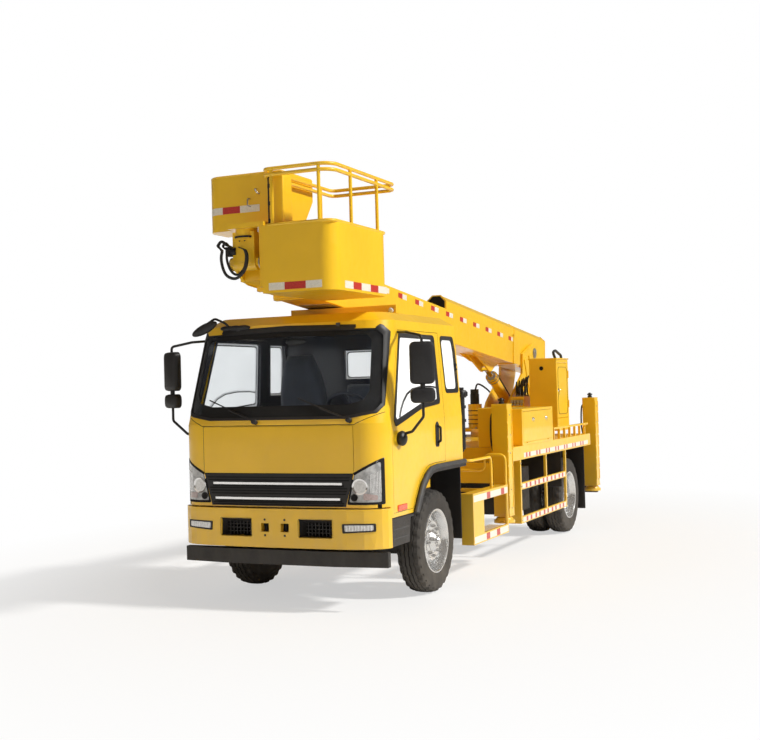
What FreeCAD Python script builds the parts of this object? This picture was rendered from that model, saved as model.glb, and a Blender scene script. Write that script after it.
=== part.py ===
import FreeCAD, Part
import Sketcher
import math
import os
import re

# A cherry picker truck: a two-axle cab-over chassis with outriggers, a turret over the rear
# axle, a three-section telescopic boom and a basket that wraps round the boom's head.
# Frame: millimetres, +Z up, the front faces -Y, the vehicle's left is +X.
# The origin is on the ground in the middle of the vehicle's overall box.

SIZES = [
    # alias, millimetres or degrees
    ("front_axle", -2580), ("wheelbase", 4700), ("tyre_radius", 487), ("tyre_width", 236),
    ("rim_radius", 290), ("track_front", 922), ("track_outer", 942), ("twin_pitch", 290),
    ("running_gap", 0.05), ("seat_gap", 0.3), ("panel_gap", 4), ("move_gap", 12),
    ("spindle_radius", 40), ("hub_radius", 105), ("kingpin_radius", 25), ("kingpin_out", 700),
    ("rail_out", 430), ("rail_width", 75), ("rail_low", 620), ("rail_high", 870),
    ("frame_front", -960), ("frame_rear", 1300), ("under_half", 1100), ("under_low", 400),
    ("cab_half", 1030), ("cab_lean", 60), ("cab_front", -1240), ("cab_rear", 780),
    ("cab_low", 815), ("cab_belt", 1650), ("cab_eave", 2560), ("cab_crown", 2640),
    ("cab_floor", 1210), ("cab_wall", 50), ("skin", 24), ("corner_back", 260), ("rake_back", 285),
    ("glass_inset", 8), ("glass_thick", 6),
    ("door_front", -985), ("door_rear", 300), ("door_low", 850), ("door_high", 2475),
    ("arch_front", -546), ("arch_crest", 546), ("arch_high", 1195), ("arch_depth", 330), ("arch_lip", 50),
    ("foot_panel_front", -1030), ("foot_panel_rear", -605), ("foot_panel_low", 560),
    ("rear_pane_half", 245), ("rear_pane_low", 2055), ("rear_pane_high", 2352),
    ("seat_front", -470), ("seat_high", 2350), ("driver_seat_high", 2030),
    ("lid_clear", 6), ("lid_half", 760), ("lid_low", 1214), ("lid_high", 1632), ("grille_half", 680),
    ("grille_low", 925), ("lamp_low", 950), ("lamp_top", 1389), ("lamp_depth", 145),
    ("bumper_half", 1040), ("bumper_front", -1285), ("bumper_low", 560), ("bumper_high", 905),
    ("bumper_wall", 60), ("bumper_back", -1055), ("bar_half", 1030), ("bar_low", 395), ("bar_high", 530),
    ("deck_half", 1150), ("deck_front", 2055), ("deck_rear_out", 790), ("deck_low", 1100),
    ("deck_high", 1255), ("deck_plate", 30),
    ("box_inner", 640), ("box_length", 1250), ("box_start", 2420), ("box_high", 1672),
    ("box_wall", 25), ("box_door_low", 1290),
    ("jack_size", 175), ("jack_wall", 14), ("jack_low", 512), ("jack_high", 1735),
    ("jack_clear", 10), ("foot_clear", 7.5), ("leg_radius", 66), ("foot_radius", 115),
    ("foot_thick", 32), ("foot_low", 438), ("jack_stroke", 430),
    ("beam_low", 885), ("beam_high", 1085), ("beam_wall", 12), ("beam_inner", 60),
    ("beam_stroke", 620),
    ("guard_low", 384), ("guard_strip", 78), ("guard_mid", 762), ("guard_front", 2300),
    ("guard_length", 1930), ("guard_thick", 30),
    ("step_front", 715), ("step_depth", 130), ("step_low", 350), ("step_high", 865),
    ("step_tread", 90), ("step_face", 325), ("step_clear", 35),
    ("hoop_radius", 16), ("hoop_high", 1190), ("hoop_out", 60),
    ("slew_out", 350), ("ring_radius", 430), ("ring_top", 1320), ("turret_plate", 45),
    ("spigot_radius", 240), ("turret_half", 520), ("cheek_inner", 145), ("cheek_thick", 32),
    ("pivot_out", 1150), ("pivot_high", 2400), ("pivot_radius", 40),
    ("boom_pitch", 5.4), ("boom_drop", 258), ("boom_width", 400), ("boom_height", 385),
    ("boom_wall", 14), ("boom_rear", 745), ("boom_lead", 2360), ("tail_rear", 720),
    ("tail_half", 123), ("tail_top_half", 52), ("tail_rise", 197), ("tail_front", 3450),
    ("section_gap", 10), ("section_wall", 12), ("collar_length", 70), ("nose_step", 330),
    ("middle_length", 6000), ("tip_length", 6200), ("section_stroke", 4600),
    ("head_reach", 150), ("head_drop", 20),
    ("eye_out", 1670), ("eye_drop", 200), ("eye_radius", 62), ("eye_width", 80),
    ("base_out", 330), ("base_drop", 950), ("barrel_radius", 70), ("rod_radius", 40),
    ("barrel_length", 1270), ("pin_radius", 30),
    ("basket_clear", 25), ("basket_out", 900), ("basket_front", -1780), ("basket_length", 1120),
    ("basket_low", 2775), ("basket_high", 3350), ("basket_wall", 22), ("basket_round", 130),
    ("saddle_out", 580), ("saddle_set", 20), ("saddle_front", -1372), ("saddle_length", 592),
    ("saddle_low", 3392), ("saddle_high", 3880), ("saddle_round", 150),
    ("railing_high", 3825), ("railing_drop", 50), ("railing_tube", 16), ("railing_length", 1330),
    ("swing_radius", 95), ("rest_half", 780), ("rest_in", 330),
    ("mirror_reach", 270), ("mirror_y", -950), ("mirror_foot", -830),
    ("cabinet_in", 525), ("cabinet_out", 900),
    ("cabinet_front", 90), ("cabinet_length", 580), ("cabinet_low", 1400), ("cabinet_high", 2285),
]
LINKED = [
    # alias, the sizes it follows
    ("cab_top_half", "=cab_half - cab_lean"),
    ("mirror_out", "=cab_half + mirror_reach"),
    ("jack_outer", "=deck_half"),
    ("jack_front", "=deck_front - jack_size - jack_clear"),
    ("jack_rear_out", "=frame_rear - foot_radius - foot_clear - jack_size / 2"),
    ("boom_front", "=wheelbase + boom_lead"),
    ("basket_in", "=boom_width / 2 + basket_clear"),
    ("saddle_in", "=basket_in - saddle_set"),
]

doc = FreeCAD.newDocument("cherry_picker_truck")
sheet = doc.addObject("Spreadsheet::Sheet", "sizes")
for row, (alias, number) in enumerate(SIZES + LINKED, 1):
    sheet.set(f"A{row}", alias)
    sheet.set(f"B{row}", str(number))
    sheet.setAlias(f"B{row}", alias)
doc.recompute()
ALIASES = {alias for alias, number in SIZES + LINKED}
NODES = []


def bound(text):
    """An expression over the sheet's cells, from plain alias names."""
    swap = lambda found: "sizes." + found.group(0) if found.group(0) in ALIASES else found.group(0)
    return re.sub(r"[a-z_]+", swap, str(text))


def value(text):
    return float(sheet.evalExpression(bound(text)))


def bind(thing, prop, text):
    thing.setExpression(prop, bound(text))


def place(thing, x=0, y=0, z=0):
    for letter, text in zip("xyz", (x, y, z)):
        bind(thing, "Placement.Base." + letter, text)
    return thing


def box(name, x, y, z):
    """A block between the low and high value given for each axis."""
    made = doc.addObject("Part::Box", name)
    for prop, pair in zip(("Length", "Width", "Height"), (x, y, z)):
        bind(made, prop, f"({pair[1]}) - ({pair[0]})")
    return place(made, x[0], y[0], z[0])


TURNS = {"x": ((0, 1, 0), 90), "y": ((1, 0, 0), -90), "z": ((0, 0, 1), 0)}


def rod(name, axis, ends, centre, radius):
    """A round bar along x, y or z between two ends, about a centre in the other two axes."""
    made = doc.addObject("Part::Cylinder", name)
    bind(made, "Radius", radius)
    bind(made, "Height", f"({ends[1]}) - ({ends[0]})")
    spin, angle = TURNS[axis]
    made.Placement.Rotation = FreeCAD.Rotation(FreeCAD.Vector(*spin), angle)
    base = {"x": (ends[0], *centre), "y": (centre[0], ends[0], centre[1]), "z": (*centre, ends[0])}
    return place(made, *base[axis])


def fuse(name, parts):
    made = doc.addObject("Part::MultiFuse", name)
    made.Shapes = parts
    return made


def cut(name, base, tools):
    made = doc.addObject("Part::Cut", name)
    made.Base = base
    made.Tool = tools[0] if len(tools) == 1 else fuse(name + "_tools", tools)
    return made


def common(name, base, tool):
    made = doc.addObject("Part::Common", name)
    made.Base = base
    made.Tool = tool
    return made


def mirrored(name, source):
    """The same piece on the vehicle's other side."""
    made = doc.addObject("Part::Mirroring", name)
    made.Source = source
    made.Normal = (1, 0, 0)
    return made


def both(name, source):
    return fuse(name, [source, mirrored(name + "_other", source)])


def node(thing, label):
    thing.Label = label
    NODES.append((label, thing))
    return thing


def origin_plane(body, role):
    return next(feature for feature in body.Origin.OriginFeatures if feature.Role == role)


def outline(body, name, plane, points, offset=0):
    """A closed sketch of straight lines; each corner is held by two bound distances."""
    sketch = body.newObject("Sketcher::SketchObject", name)
    sketch.AttachmentSupport = (origin_plane(body, plane), [""])
    sketch.MapMode = "FlatFace"
    bind(sketch, "AttachmentOffset.Base.z", offset)
    spots = [FreeCAD.Vector(value(across), value(up), 0) for across, up in points]
    count = len(spots)
    for index in range(count):
        sketch.addGeometry(Part.LineSegment(spots[index], spots[(index + 1) % count]))
    for index in range(count):
        sketch.addConstraint(Sketcher.Constraint("Coincident", index, 2, (index + 1) % count, 1))
    for index, pair in enumerate(points):
        for kind, text, start in (("DistanceX", pair[0], spots[index].x),
                                  ("DistanceY", pair[1], spots[index].y)):
            number = sketch.addConstraint(Sketcher.Constraint(kind, -1, 1, index, 1, start))
            bind(sketch, f"Constraints[{number}]", text)
    return sketch


def slab(name, plane, points, low, high):
    """An outline extruded between two heights over an origin plane."""
    body = doc.addObject("PartDesign::Body", name)
    pad = body.newObject("PartDesign::Pad", name + "_pad")
    sign = -1 if plane == "XZ_Plane" else 1
    start = low if sign == 1 else f"-({high})"
    pad.Profile = outline(body, name + "_sketch", plane, points, start)
    bind(pad, "Length", f"({high}) - ({low})")
    body.Tip = pad
    return body


def round_edges(body, name, radius, wanted):
    """A fillet on those of the body's edges whose bounds are wanted."""
    doc.recompute()
    base = body.Tip
    edges = [f"Edge{number}" for number, edge in enumerate(base.Shape.Edges, 1) if wanted(edge.BoundBox)]
    made = body.newObject("PartDesign::Fillet", name)
    made.Base = (base, edges)
    bind(made, "Radius", radius)
    body.Tip = made
    doc.recompute()
    return made


def turned(name, points):
    """A profile of (along, radius) corners turned about the X axis."""
    body = doc.addObject("PartDesign::Body", name)
    sketch = outline(body, name + "_sketch", "XZ_Plane", points)
    spun = body.newObject("PartDesign::Revolution", name + "_spun")
    spun.Profile = sketch
    spun.ReferenceAxis = (sketch, ["H_Axis"])
    spun.Angle = 360
    body.Tip = spun
    return body


def tube_path(name, points, radius, closed=False, wide=None):
    """A bent tube through the points; corners take twice its diameter, or the size that wide gives them."""
    spots = [FreeCAD.Vector(*(value(part) for part in point)) for point in points]
    size = value(radius)
    edges = []
    count = len(spots)
    corners = range(count) if closed else range(1, count - 1)
    trimmed = {}
    for index in corners:
        here = spots[index]
        back = (spots[index - 1] - here).normalize()
        ahead = (spots[(index + 1) % count] - here).normalize()
        half = back.getAngle(ahead) / 2
        bend = value(wide[index]) if wide and index in wide else 4 * size
        reach = bend / math.tan(half)
        middle = here + (back + ahead).normalize() * (bend / math.sin(half) - bend)
        trimmed[index] = (here + back * reach, middle, here + ahead * reach)
    last = count if closed else count - 1
    for index in range(last):
        following = (index + 1) % count
        start = trimmed[index][2] if index in trimmed else spots[index]
        end = trimmed[following][0] if following in trimmed else spots[following]
        edges.append(Part.LineSegment(start, end).toShape())
        if following in trimmed:
            edges.append(Part.Arc(*trimmed[following]).toShape())
    wire = Part.Wire(edges)
    first = edges[0]
    heading = first.tangentAt(first.FirstParameter)
    ring = Part.Wire(Part.Circle(first.valueAt(first.FirstParameter), heading, size).toShape())
    made = doc.addObject("Part::Feature", name)
    made.Shape = wire.makePipeShell([ring], True, False)
    return made


# ---------------------------------------------------------------- wheels and axles
AXLE = "front_axle"
REAR = "front_axle + wheelbase"
RAILS = (("l", ("rail_out - rail_width", "rail_out")), ("r", ("-rail_out", "rail_width - rail_out")))


def tyre(name):
    half = "tyre_width / 2"
    return turned(name, [
        (f"-{half} + 22", "rim_radius"), (f"-{half}", "rim_radius + 95"),
        (f"-{half} + 6", "tyre_radius - 48"),
        (f"-{half} + 26", "tyre_radius - 12"), (f"-{half} + 60", "tyre_radius"),
        (f"{half} - 60", "tyre_radius"),
        (f"{half} - 26", "tyre_radius - 12"), (f"{half} - 6", "tyre_radius - 48"), (half, "rim_radius + 95"),
        (f"{half} - 22", "rim_radius")])


def wheel(name, dish, hub):
    """Rim, dished disc and hub in one piece; dish is where the disc's face lies along the axle."""
    rim = turned(name + "_rim", [
        ("-96", "rim_radius"), ("96", "rim_radius"), ("104", "rim_radius + 16"), ("110", "rim_radius + 14"),
        ("102", "rim_radius - 10"), ("40", "rim_radius - 34"), ("-40", "rim_radius - 34"),
        ("-102", "rim_radius - 10")])
    disc = turned(name + "_disc", [
        ("-10", "rim_radius - 30"), ("10", "rim_radius - 30"), (f"{dish} + 6", "180"),
        (f"{dish} + 10", "hub_radius - 2"),
        (f"{dish} - 8", "hub_radius - 2"), (f"{dish} - 14", "180")])
    holes = []
    for count in range(8):
        angle = math.radians(45 * count + 22.5)
        hole = rod(f"{name}_hole_{count}", "x", ("-120", "120"),
                   (218 * math.cos(angle), 218 * math.sin(angle)), "24")
        holes.append(hole)
    web = cut(name + "_pierced", fuse(name + "_web", [rim, disc]), holes)
    return fuse(name + "_whole", [web, turned(name + "_hub", hub)])


def wheels():
    half = "tyre_width / 2"
    bore = "spindle_radius + running_gap"
    front = wheel("front_wheel", "62", [
        ("-100", bore), ("78", bore), ("78", "0"), ("118", "0"), ("118", "hub_radius - 38"),
        ("76", "hub_radius"),
        ("32", "hub_radius"), ("2", "hub_radius + 60"), ("-100", "hub_radius + 60")])
    node(place(front, "track_front", AXLE, "tyre_radius"), "front_wheel_left")
    node(mirrored("front_wheel_m", front), "front_wheel_right")
    front_tyre = place(tyre("front_tyre_body"), "track_front", AXLE, "tyre_radius")
    node(front_tyre, "front_tyre_left")
    node(mirrored("front_tyre_m", front_tyre), "front_tyre_right")
    outer = wheel("rear_outer", "-40", [
        ("-95", "0"), ("60", "0"), ("60", "hub_radius - 38"), ("-30", "hub_radius - 25"),
        ("-30", "hub_radius"),
        ("-95", "hub_radius")])
    place(outer, "track_outer", REAR, "tyre_radius")
    rim = turned("rear_inner_rim", [
        ("-96", "rim_radius"), ("96", "rim_radius"), ("102", "rim_radius - 10"), ("40", "rim_radius - 34"),
        ("-40", "rim_radius - 34"), ("-102", "rim_radius - 10")])
    place(rim, "track_outer - twin_pitch", REAR, "tyre_radius")
    drum = turned("rear_drum", [
        ("-320", bore), ("-95", bore),
        ("-95", "hub_radius + 60"), ("-130", "rim_radius - 30"), ("-300", "rim_radius - 30"),
        ("-320", "210")])
    place(drum, "track_outer", REAR, "tyre_radius")
    rear = fuse("rear_wheels_l", [outer, rim, drum])
    node(rear, "rear_wheels_left")
    node(mirrored("rear_wheels_m", rear), "rear_wheels_right")
    tyres = fuse("rear_tyres_l", [place(tyre("rear_tyre_a"), "track_outer", REAR, "tyre_radius"),
                                  place(tyre("rear_tyre_b"), "track_outer - twin_pitch", REAR,
                                        "tyre_radius")])
    node(tyres, "rear_tyres_left")
    node(mirrored("rear_tyres_m", tyres), "rear_tyres_right")


def axles():
    eye = "tyre_radius"
    beam = box("axle_beam", ("-kingpin_out + 40", "kingpin_out - 40"), (f"{AXLE} - 45", f"{AXLE} + 45"),
               (f"{eye} - 130", f"{eye} - 40"))
    bosses = []
    bores = []
    for side in ("", "-"):
        bosses.append(rod("boss" + side, "z", (f"{eye} - 130", f"{eye} + 60"), (f"{side}kingpin_out", AXLE),
                          "55"))
        bores.append(rod("bore" + side, "z", (f"{eye} - 140", f"{eye} + 70"), (f"{side}kingpin_out", AXLE),
                         "kingpin_radius + running_gap"))
    node(cut("front_axle_cut", fuse("front_axle_f", [beam, *bosses]), bores), "front_axle_beam")
    pin = rod("kingpin", "z", (f"{eye} - 150", f"{eye} + 90"), ("kingpin_out", AXLE), "kingpin_radius")
    yoke_low = box("yoke_low", ("kingpin_out - 50", "kingpin_out + 70"), (f"{AXLE} - 45", f"{AXLE} + 45"),
                   (f"{eye} - 160", f"{eye} - 130 - seat_gap"))
    yoke_top = box("yoke_top", ("kingpin_out - 50", "kingpin_out + 70"), (f"{AXLE} - 45", f"{AXLE} + 45"),
                   (f"{eye} + 60 + seat_gap", f"{eye} + 95"))
    web = box("yoke_web", ("kingpin_out + 60", "kingpin_out + 85"), (f"{AXLE} - 70", f"{AXLE} + 70"),
              (f"{eye} - 160", f"{eye} + 95"))
    spindle = rod("spindle", "x", ("kingpin_out + 70", "track_front + 70"), (AXLE, eye), "spindle_radius")
    arm = box("steer_arm", ("kingpin_out - 80", "kingpin_out - 45"), (f"{AXLE} + 30", f"{AXLE} + 200"),
              (f"{eye} + 65", f"{eye} + 90"))
    knuckle = fuse("knuckle_l", [pin, yoke_low, yoke_top, web, spindle, arm,
                                 box("arm_root", ("kingpin_out - 80", "kingpin_out"),
                                     (f"{AXLE} + 20", f"{AXLE} + 45"),
                                     (f"{eye} + 65", f"{eye} + 90"))])
    node(knuckle, "steering_knuckle_left")
    node(mirrored("knuckle_m", knuckle), "steering_knuckle_right")
    tube = rod("rear_tube", "x", ("-track_outer + 330", "track_outer - 330"), (REAR, eye), "75")
    stubs = [rod("rear_stub_" + word, "x", ends, (REAR, eye), "spindle_radius")
             for word, ends in (("a", ("track_outer - 340", "track_outer - 100")),
                                ("b", ("-track_outer + 100", "-track_outer + 340")))]
    bowl = rod("diff_bowl", "y", (f"{REAR} - 130", f"{REAR} + 150"), ("0", eye), "195")
    node(fuse("rear_axle_f", [tube, *stubs, bowl]), "rear_axle")


def springs():
    """Four leaf packs: each a long flat wedge from its shackles under the rail to its axle."""
    packs = []
    low, high = "rail_out - rail_width", "rail_out"
    for word, middle, seat, reach in (("front", AXLE, "tyre_radius - 40", "620"),
                                      ("rear", REAR, "tyre_radius + 75", "700")):
        points = [(f"{middle} - 70", seat), (f"{middle} + 70", seat),
                  (f"{middle} + {reach}", "rail_low - 40"),
                  (f"{middle} + {reach}", "rail_low"), (f"{middle} + {reach} - 60", "rail_low"),
                  (f"{middle} + 90", f"{seat} + 55"), (f"{middle} - 90", f"{seat} + 55"),
                  (f"{middle} - {reach} + 60", "rail_low"), (f"{middle} - {reach}", "rail_low"),
                  (f"{middle} - {reach}", "rail_low - 40")]
        packs.append(both("spring_" + word, slab("leaf_" + word, "YZ_Plane", points, low, high)))
    node(fuse("springs_f", packs), "leaf_springs")


def chassis():
    rails = []
    low, high = f"{AXLE} + frame_front", f"{REAR} + frame_rear"
    for word, edge in RAILS:
        rails.append(box("rail_" + word, edge, (low, high), ("rail_low", "rail_high")))
    across = ("rail_width - rail_out - 1", "rail_out - rail_width + 1")
    for count, spot in enumerate((f"{low} + 20", f"{AXLE} + 1350", f"{AXLE} + 2400", f"{REAR} - 700",
                                  f"{REAR} + 420", f"{high} - 80")):
        rails.append(box(f"member_{count}", across, (spot, f"{spot} + 60"),
                         ("rail_low + 30", "rail_high - 30")))
    bar = slab("bar_slab", "XY_Plane", [
        ("-bar_half", f"{AXLE} - 1080"), ("-bar_half", f"{AXLE} - 1135"),
        ("-bar_half / 2", f"{AXLE} - 1195"), ("bar_half / 2", f"{AXLE} - 1195"),
        ("bar_half", f"{AXLE} - 1135"), ("bar_half", f"{AXLE} - 1080")], "bar_low", "bar_high")
    hangers = [box("bar_hanger_" + word, edge, (f"{AXLE} - 1100", f"{low} + 60"),
                   ("bar_high - 60", "rail_low"))
               for word, edge in (("l", ("330", "400")), ("r", ("-400", "-330")))]
    beam = box("under_run", ("-under_half", "under_half"), (high, f"{high} + 60"),
               ("under_low", "under_low + 110"))
    drops = [box("under_drop_" + word, edge, (f"{high} - 60", high), ("under_low", "rail_low + 1"))
             for word, edge in RAILS]
    cab_feet = [box(f"cab_foot_{word}_{count}", edge, (f"{AXLE} + {spot}", f"{AXLE} + {spot} + 90"),
                    ("rail_high", "cab_floor"))
                for word, edge in RAILS
                for count, spot in enumerate(("-900", "640"))]
    node(fuse("chassis_f", [*rails, bar, *hangers, beam, *drops, *cab_feet]), "chassis_frame")
    engine = box("engine", ("-290", "290"), (f"{AXLE} - 620", f"{AXLE} + 520"),
                 ("rail_low - 20", "cab_floor - 60"))
    gearbox = box("gearbox", ("-180", "180"), (f"{AXLE} + 520", f"{AXLE} + 1150"),
                  ("rail_low - 20", "rail_low + 300"))
    shaft = rod("shaft", "y", (f"{AXLE} + 1150", f"{REAR} - 130"), ("0", "tyre_radius + 113"), "45")
    mounts = box("engine_feet", ("rail_width - rail_out", "rail_out - rail_width"),
                 (f"{AXLE} - 200", f"{AXLE} - 100"),
                 ("rail_low + 80", "rail_low + 160"))
    node(fuse("drive_f", [engine, gearbox, shaft, mounts]), "engine_and_gearbox")
    tank = box("tank", ("rail_out", "rail_out + 520"), (f"{AXLE} + 2480", f"{AXLE} + 3260"),
               ("rail_low - 160", "rail_high + 100"))
    drum = rod("air_tank", "y", (f"{AXLE} + 3330", f"{AXLE} + 3950"), ("rail_out + 170", "rail_low + 60"),
               "150")
    tray = box("air_tray", ("rail_out", "rail_out + 170"), (f"{AXLE} + 3500", f"{AXLE} + 3700"),
               ("rail_low + 40", "rail_low + 90"))
    battery = box("battery", ("-rail_out - 520", "-rail_out"), (f"{AXLE} + 2480", f"{AXLE} + 3160"),
                  ("rail_low - 120", "rail_high - 40"))
    node(fuse("tanks_f", [tank, fuse("air_f", [drum, tray]), battery]), "fuel_air_and_battery_boxes")


# ---------------------------------------------------------------- cab
def cab_ring(inset, z, shift, half):
    """Closed plan outline of the cab at one height: rear, sides, two corner arcs and a front arc."""
    size = value(half) - inset
    back = value(f"{AXLE} + cab_rear") - inset
    front = value(f"{AXLE} + cab_front") + value(shift) + inset
    corner = front + value("corner_back")
    knee_y = front + value("corner_back") * 0.10
    knee_x = size * 0.80
    v = FreeCAD.Vector
    left = [v(size, back, z), v(size, corner, z)]
    turn = v(size - (size - knee_x) * 0.22, corner - (corner - knee_y) * 0.60, z)
    knee = v(knee_x, knee_y, z)
    flip = lambda p: v(-p.x, p.y, p.z)
    edges = [Part.LineSegment(left[0], left[1]).toShape(), Part.Arc(left[1], turn, knee).toShape(),
             Part.Arc(knee, v(0, front, z), flip(knee)).toShape(),
             Part.Arc(flip(knee), flip(turn), flip(left[1])).toShape(),
             Part.LineSegment(flip(left[1]), flip(left[0])).toShape(),
             Part.LineSegment(flip(left[0]), left[0]).toShape()]
    return Part.Wire(edges)


def cab_form(name, inset_text, low_text):
    """The cab's closed outer form moved inwards by an inset: straight below, raked above."""
    inset = value(inset_text)
    belt = value("cab_belt")
    eave = value("cab_eave") - inset
    crown = value("cab_crown") - inset
    low = value(low_text)
    rise = (eave - belt) / (value("cab_eave") - belt)
    top_shift = value("rake_back") * rise
    top_half = value("cab_half") + (value("cab_top_half") - value("cab_half")) * rise
    lower = Part.makeLoft([cab_ring(inset, low, "0", "cab_half"), cab_ring(inset, belt, "0", "cab_half")],
                          True, True)
    upper = Part.makeLoft([cab_ring(inset, belt, "0", "cab_half"),
                           cab_ring(inset, eave, top_shift, top_half)], True, True)
    roof_inset = inset + 110
    roof = Part.makeLoft([cab_ring(inset, eave, top_shift, top_half),
                          cab_ring(roof_inset, crown, top_shift, top_half)], True, True)
    made = doc.addObject("Part::Feature", name)
    made.Shape = lower.fuse([upper, roof]).removeSplitter()
    return made


# Corners of the front wheel arch: back from its front foot, up from it, and the tilt of the curve's inside.
ARCH_CURVE = [(0, 0, 0), (88, 127, 33), (192, 255, 43), (298, 330, 57), (394, 373, 72)]


def arch_curve(inside):
    """The arch from its front foot to its crest, drawn in towards the wheel by the given size."""
    corners = [(f"{AXLE} + arch_front + {back} + ({inside}) * cos({tilt})",
                f"cab_low - 5 + {rise} - ({inside}) * sin({tilt})") for back, rise, tilt in ARCH_CURVE]
    return corners + [(f"{AXLE} + arch_front + arch_crest", f"arch_high - ({inside})")]


def door_points(gap):
    """Door outline on the cab's side; gap draws it inwards."""
    return [(f"{AXLE} + door_front + {gap}", f"door_low + {gap}"),
            (f"{AXLE} + arch_front - {gap}", f"door_low + {gap}"),
            *arch_curve(f"-30 - {gap}")[1:],
            (f"{AXLE} + door_rear - {gap}", f"arch_high + 30 + {gap}"),
            (f"{AXLE} + door_rear - {gap}", f"door_high - {gap}"),
            (f"{AXLE} + door_front + 300 + {gap}", f"door_high - {gap}"),
            (f"{AXLE} + door_front + {gap}", f"cab_belt - {gap}")]


def door_window():
    return [(f"{AXLE} + door_front + 60", "cab_belt + 5"), (f"{AXLE} + door_front + 90", "cab_belt - 25"),
            (f"{AXLE} + door_rear - 560", "1770"), (f"{AXLE} + door_rear - 120", "1800"),
            (f"{AXLE} + door_rear - 110", "1830"), (f"{AXLE} + door_rear - 125", "2415"),
            (f"{AXLE} + door_rear - 160", "2430"), (f"{AXLE} + door_front + 325", "2430")]


def quarter_window():
    return [(f"{AXLE} + door_rear + 105", "1905"), (f"{AXLE} + cab_rear - 62", "1905"),
            (f"{AXLE} + cab_rear - 72", "2300"), (f"{AXLE} + cab_rear - 105", "2428"),
            (f"{AXLE} + door_rear + 70", "2428")]


def windscreen_points():
    return [("90 - cab_half", "1745"), ("-695", "cab_belt + 50"), ("695", "cab_belt + 50"),
            ("cab_half - 90", "1745"),
            ("cab_half - 48", "1805"), ("cab_top_half - 35", "2435"), ("cab_top_half - 85", "2485"),
            ("0", "2503"), ("85 - cab_top_half", "2485"), ("35 - cab_top_half", "2435"),
            ("48 - cab_half", "1805")]


def rear_window():
    return [("-rear_pane_half", "rear_pane_low"), ("rear_pane_half", "rear_pane_low"),
            ("rear_pane_half", "rear_pane_high"), ("-rear_pane_half", "rear_pane_high")]


def lamp_points():
    """Headlamp outline seen from the front: a wedge that rises to the corner."""
    return [("grille_half + 10", "lamp_low"), ("cab_half + 40", "lamp_low"), ("cab_half + 40", "lamp_top"),
            ("lid_half + 8", "lid_low + 8")]


def front_zone(name, points, back="cab_front + 560"):
    """A block seen from the front, deep enough to take in the nose only."""
    return slab(name, "XZ_Plane", points, f"{AXLE} + cab_front - 60", f"{AXLE} + {back}")


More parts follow.
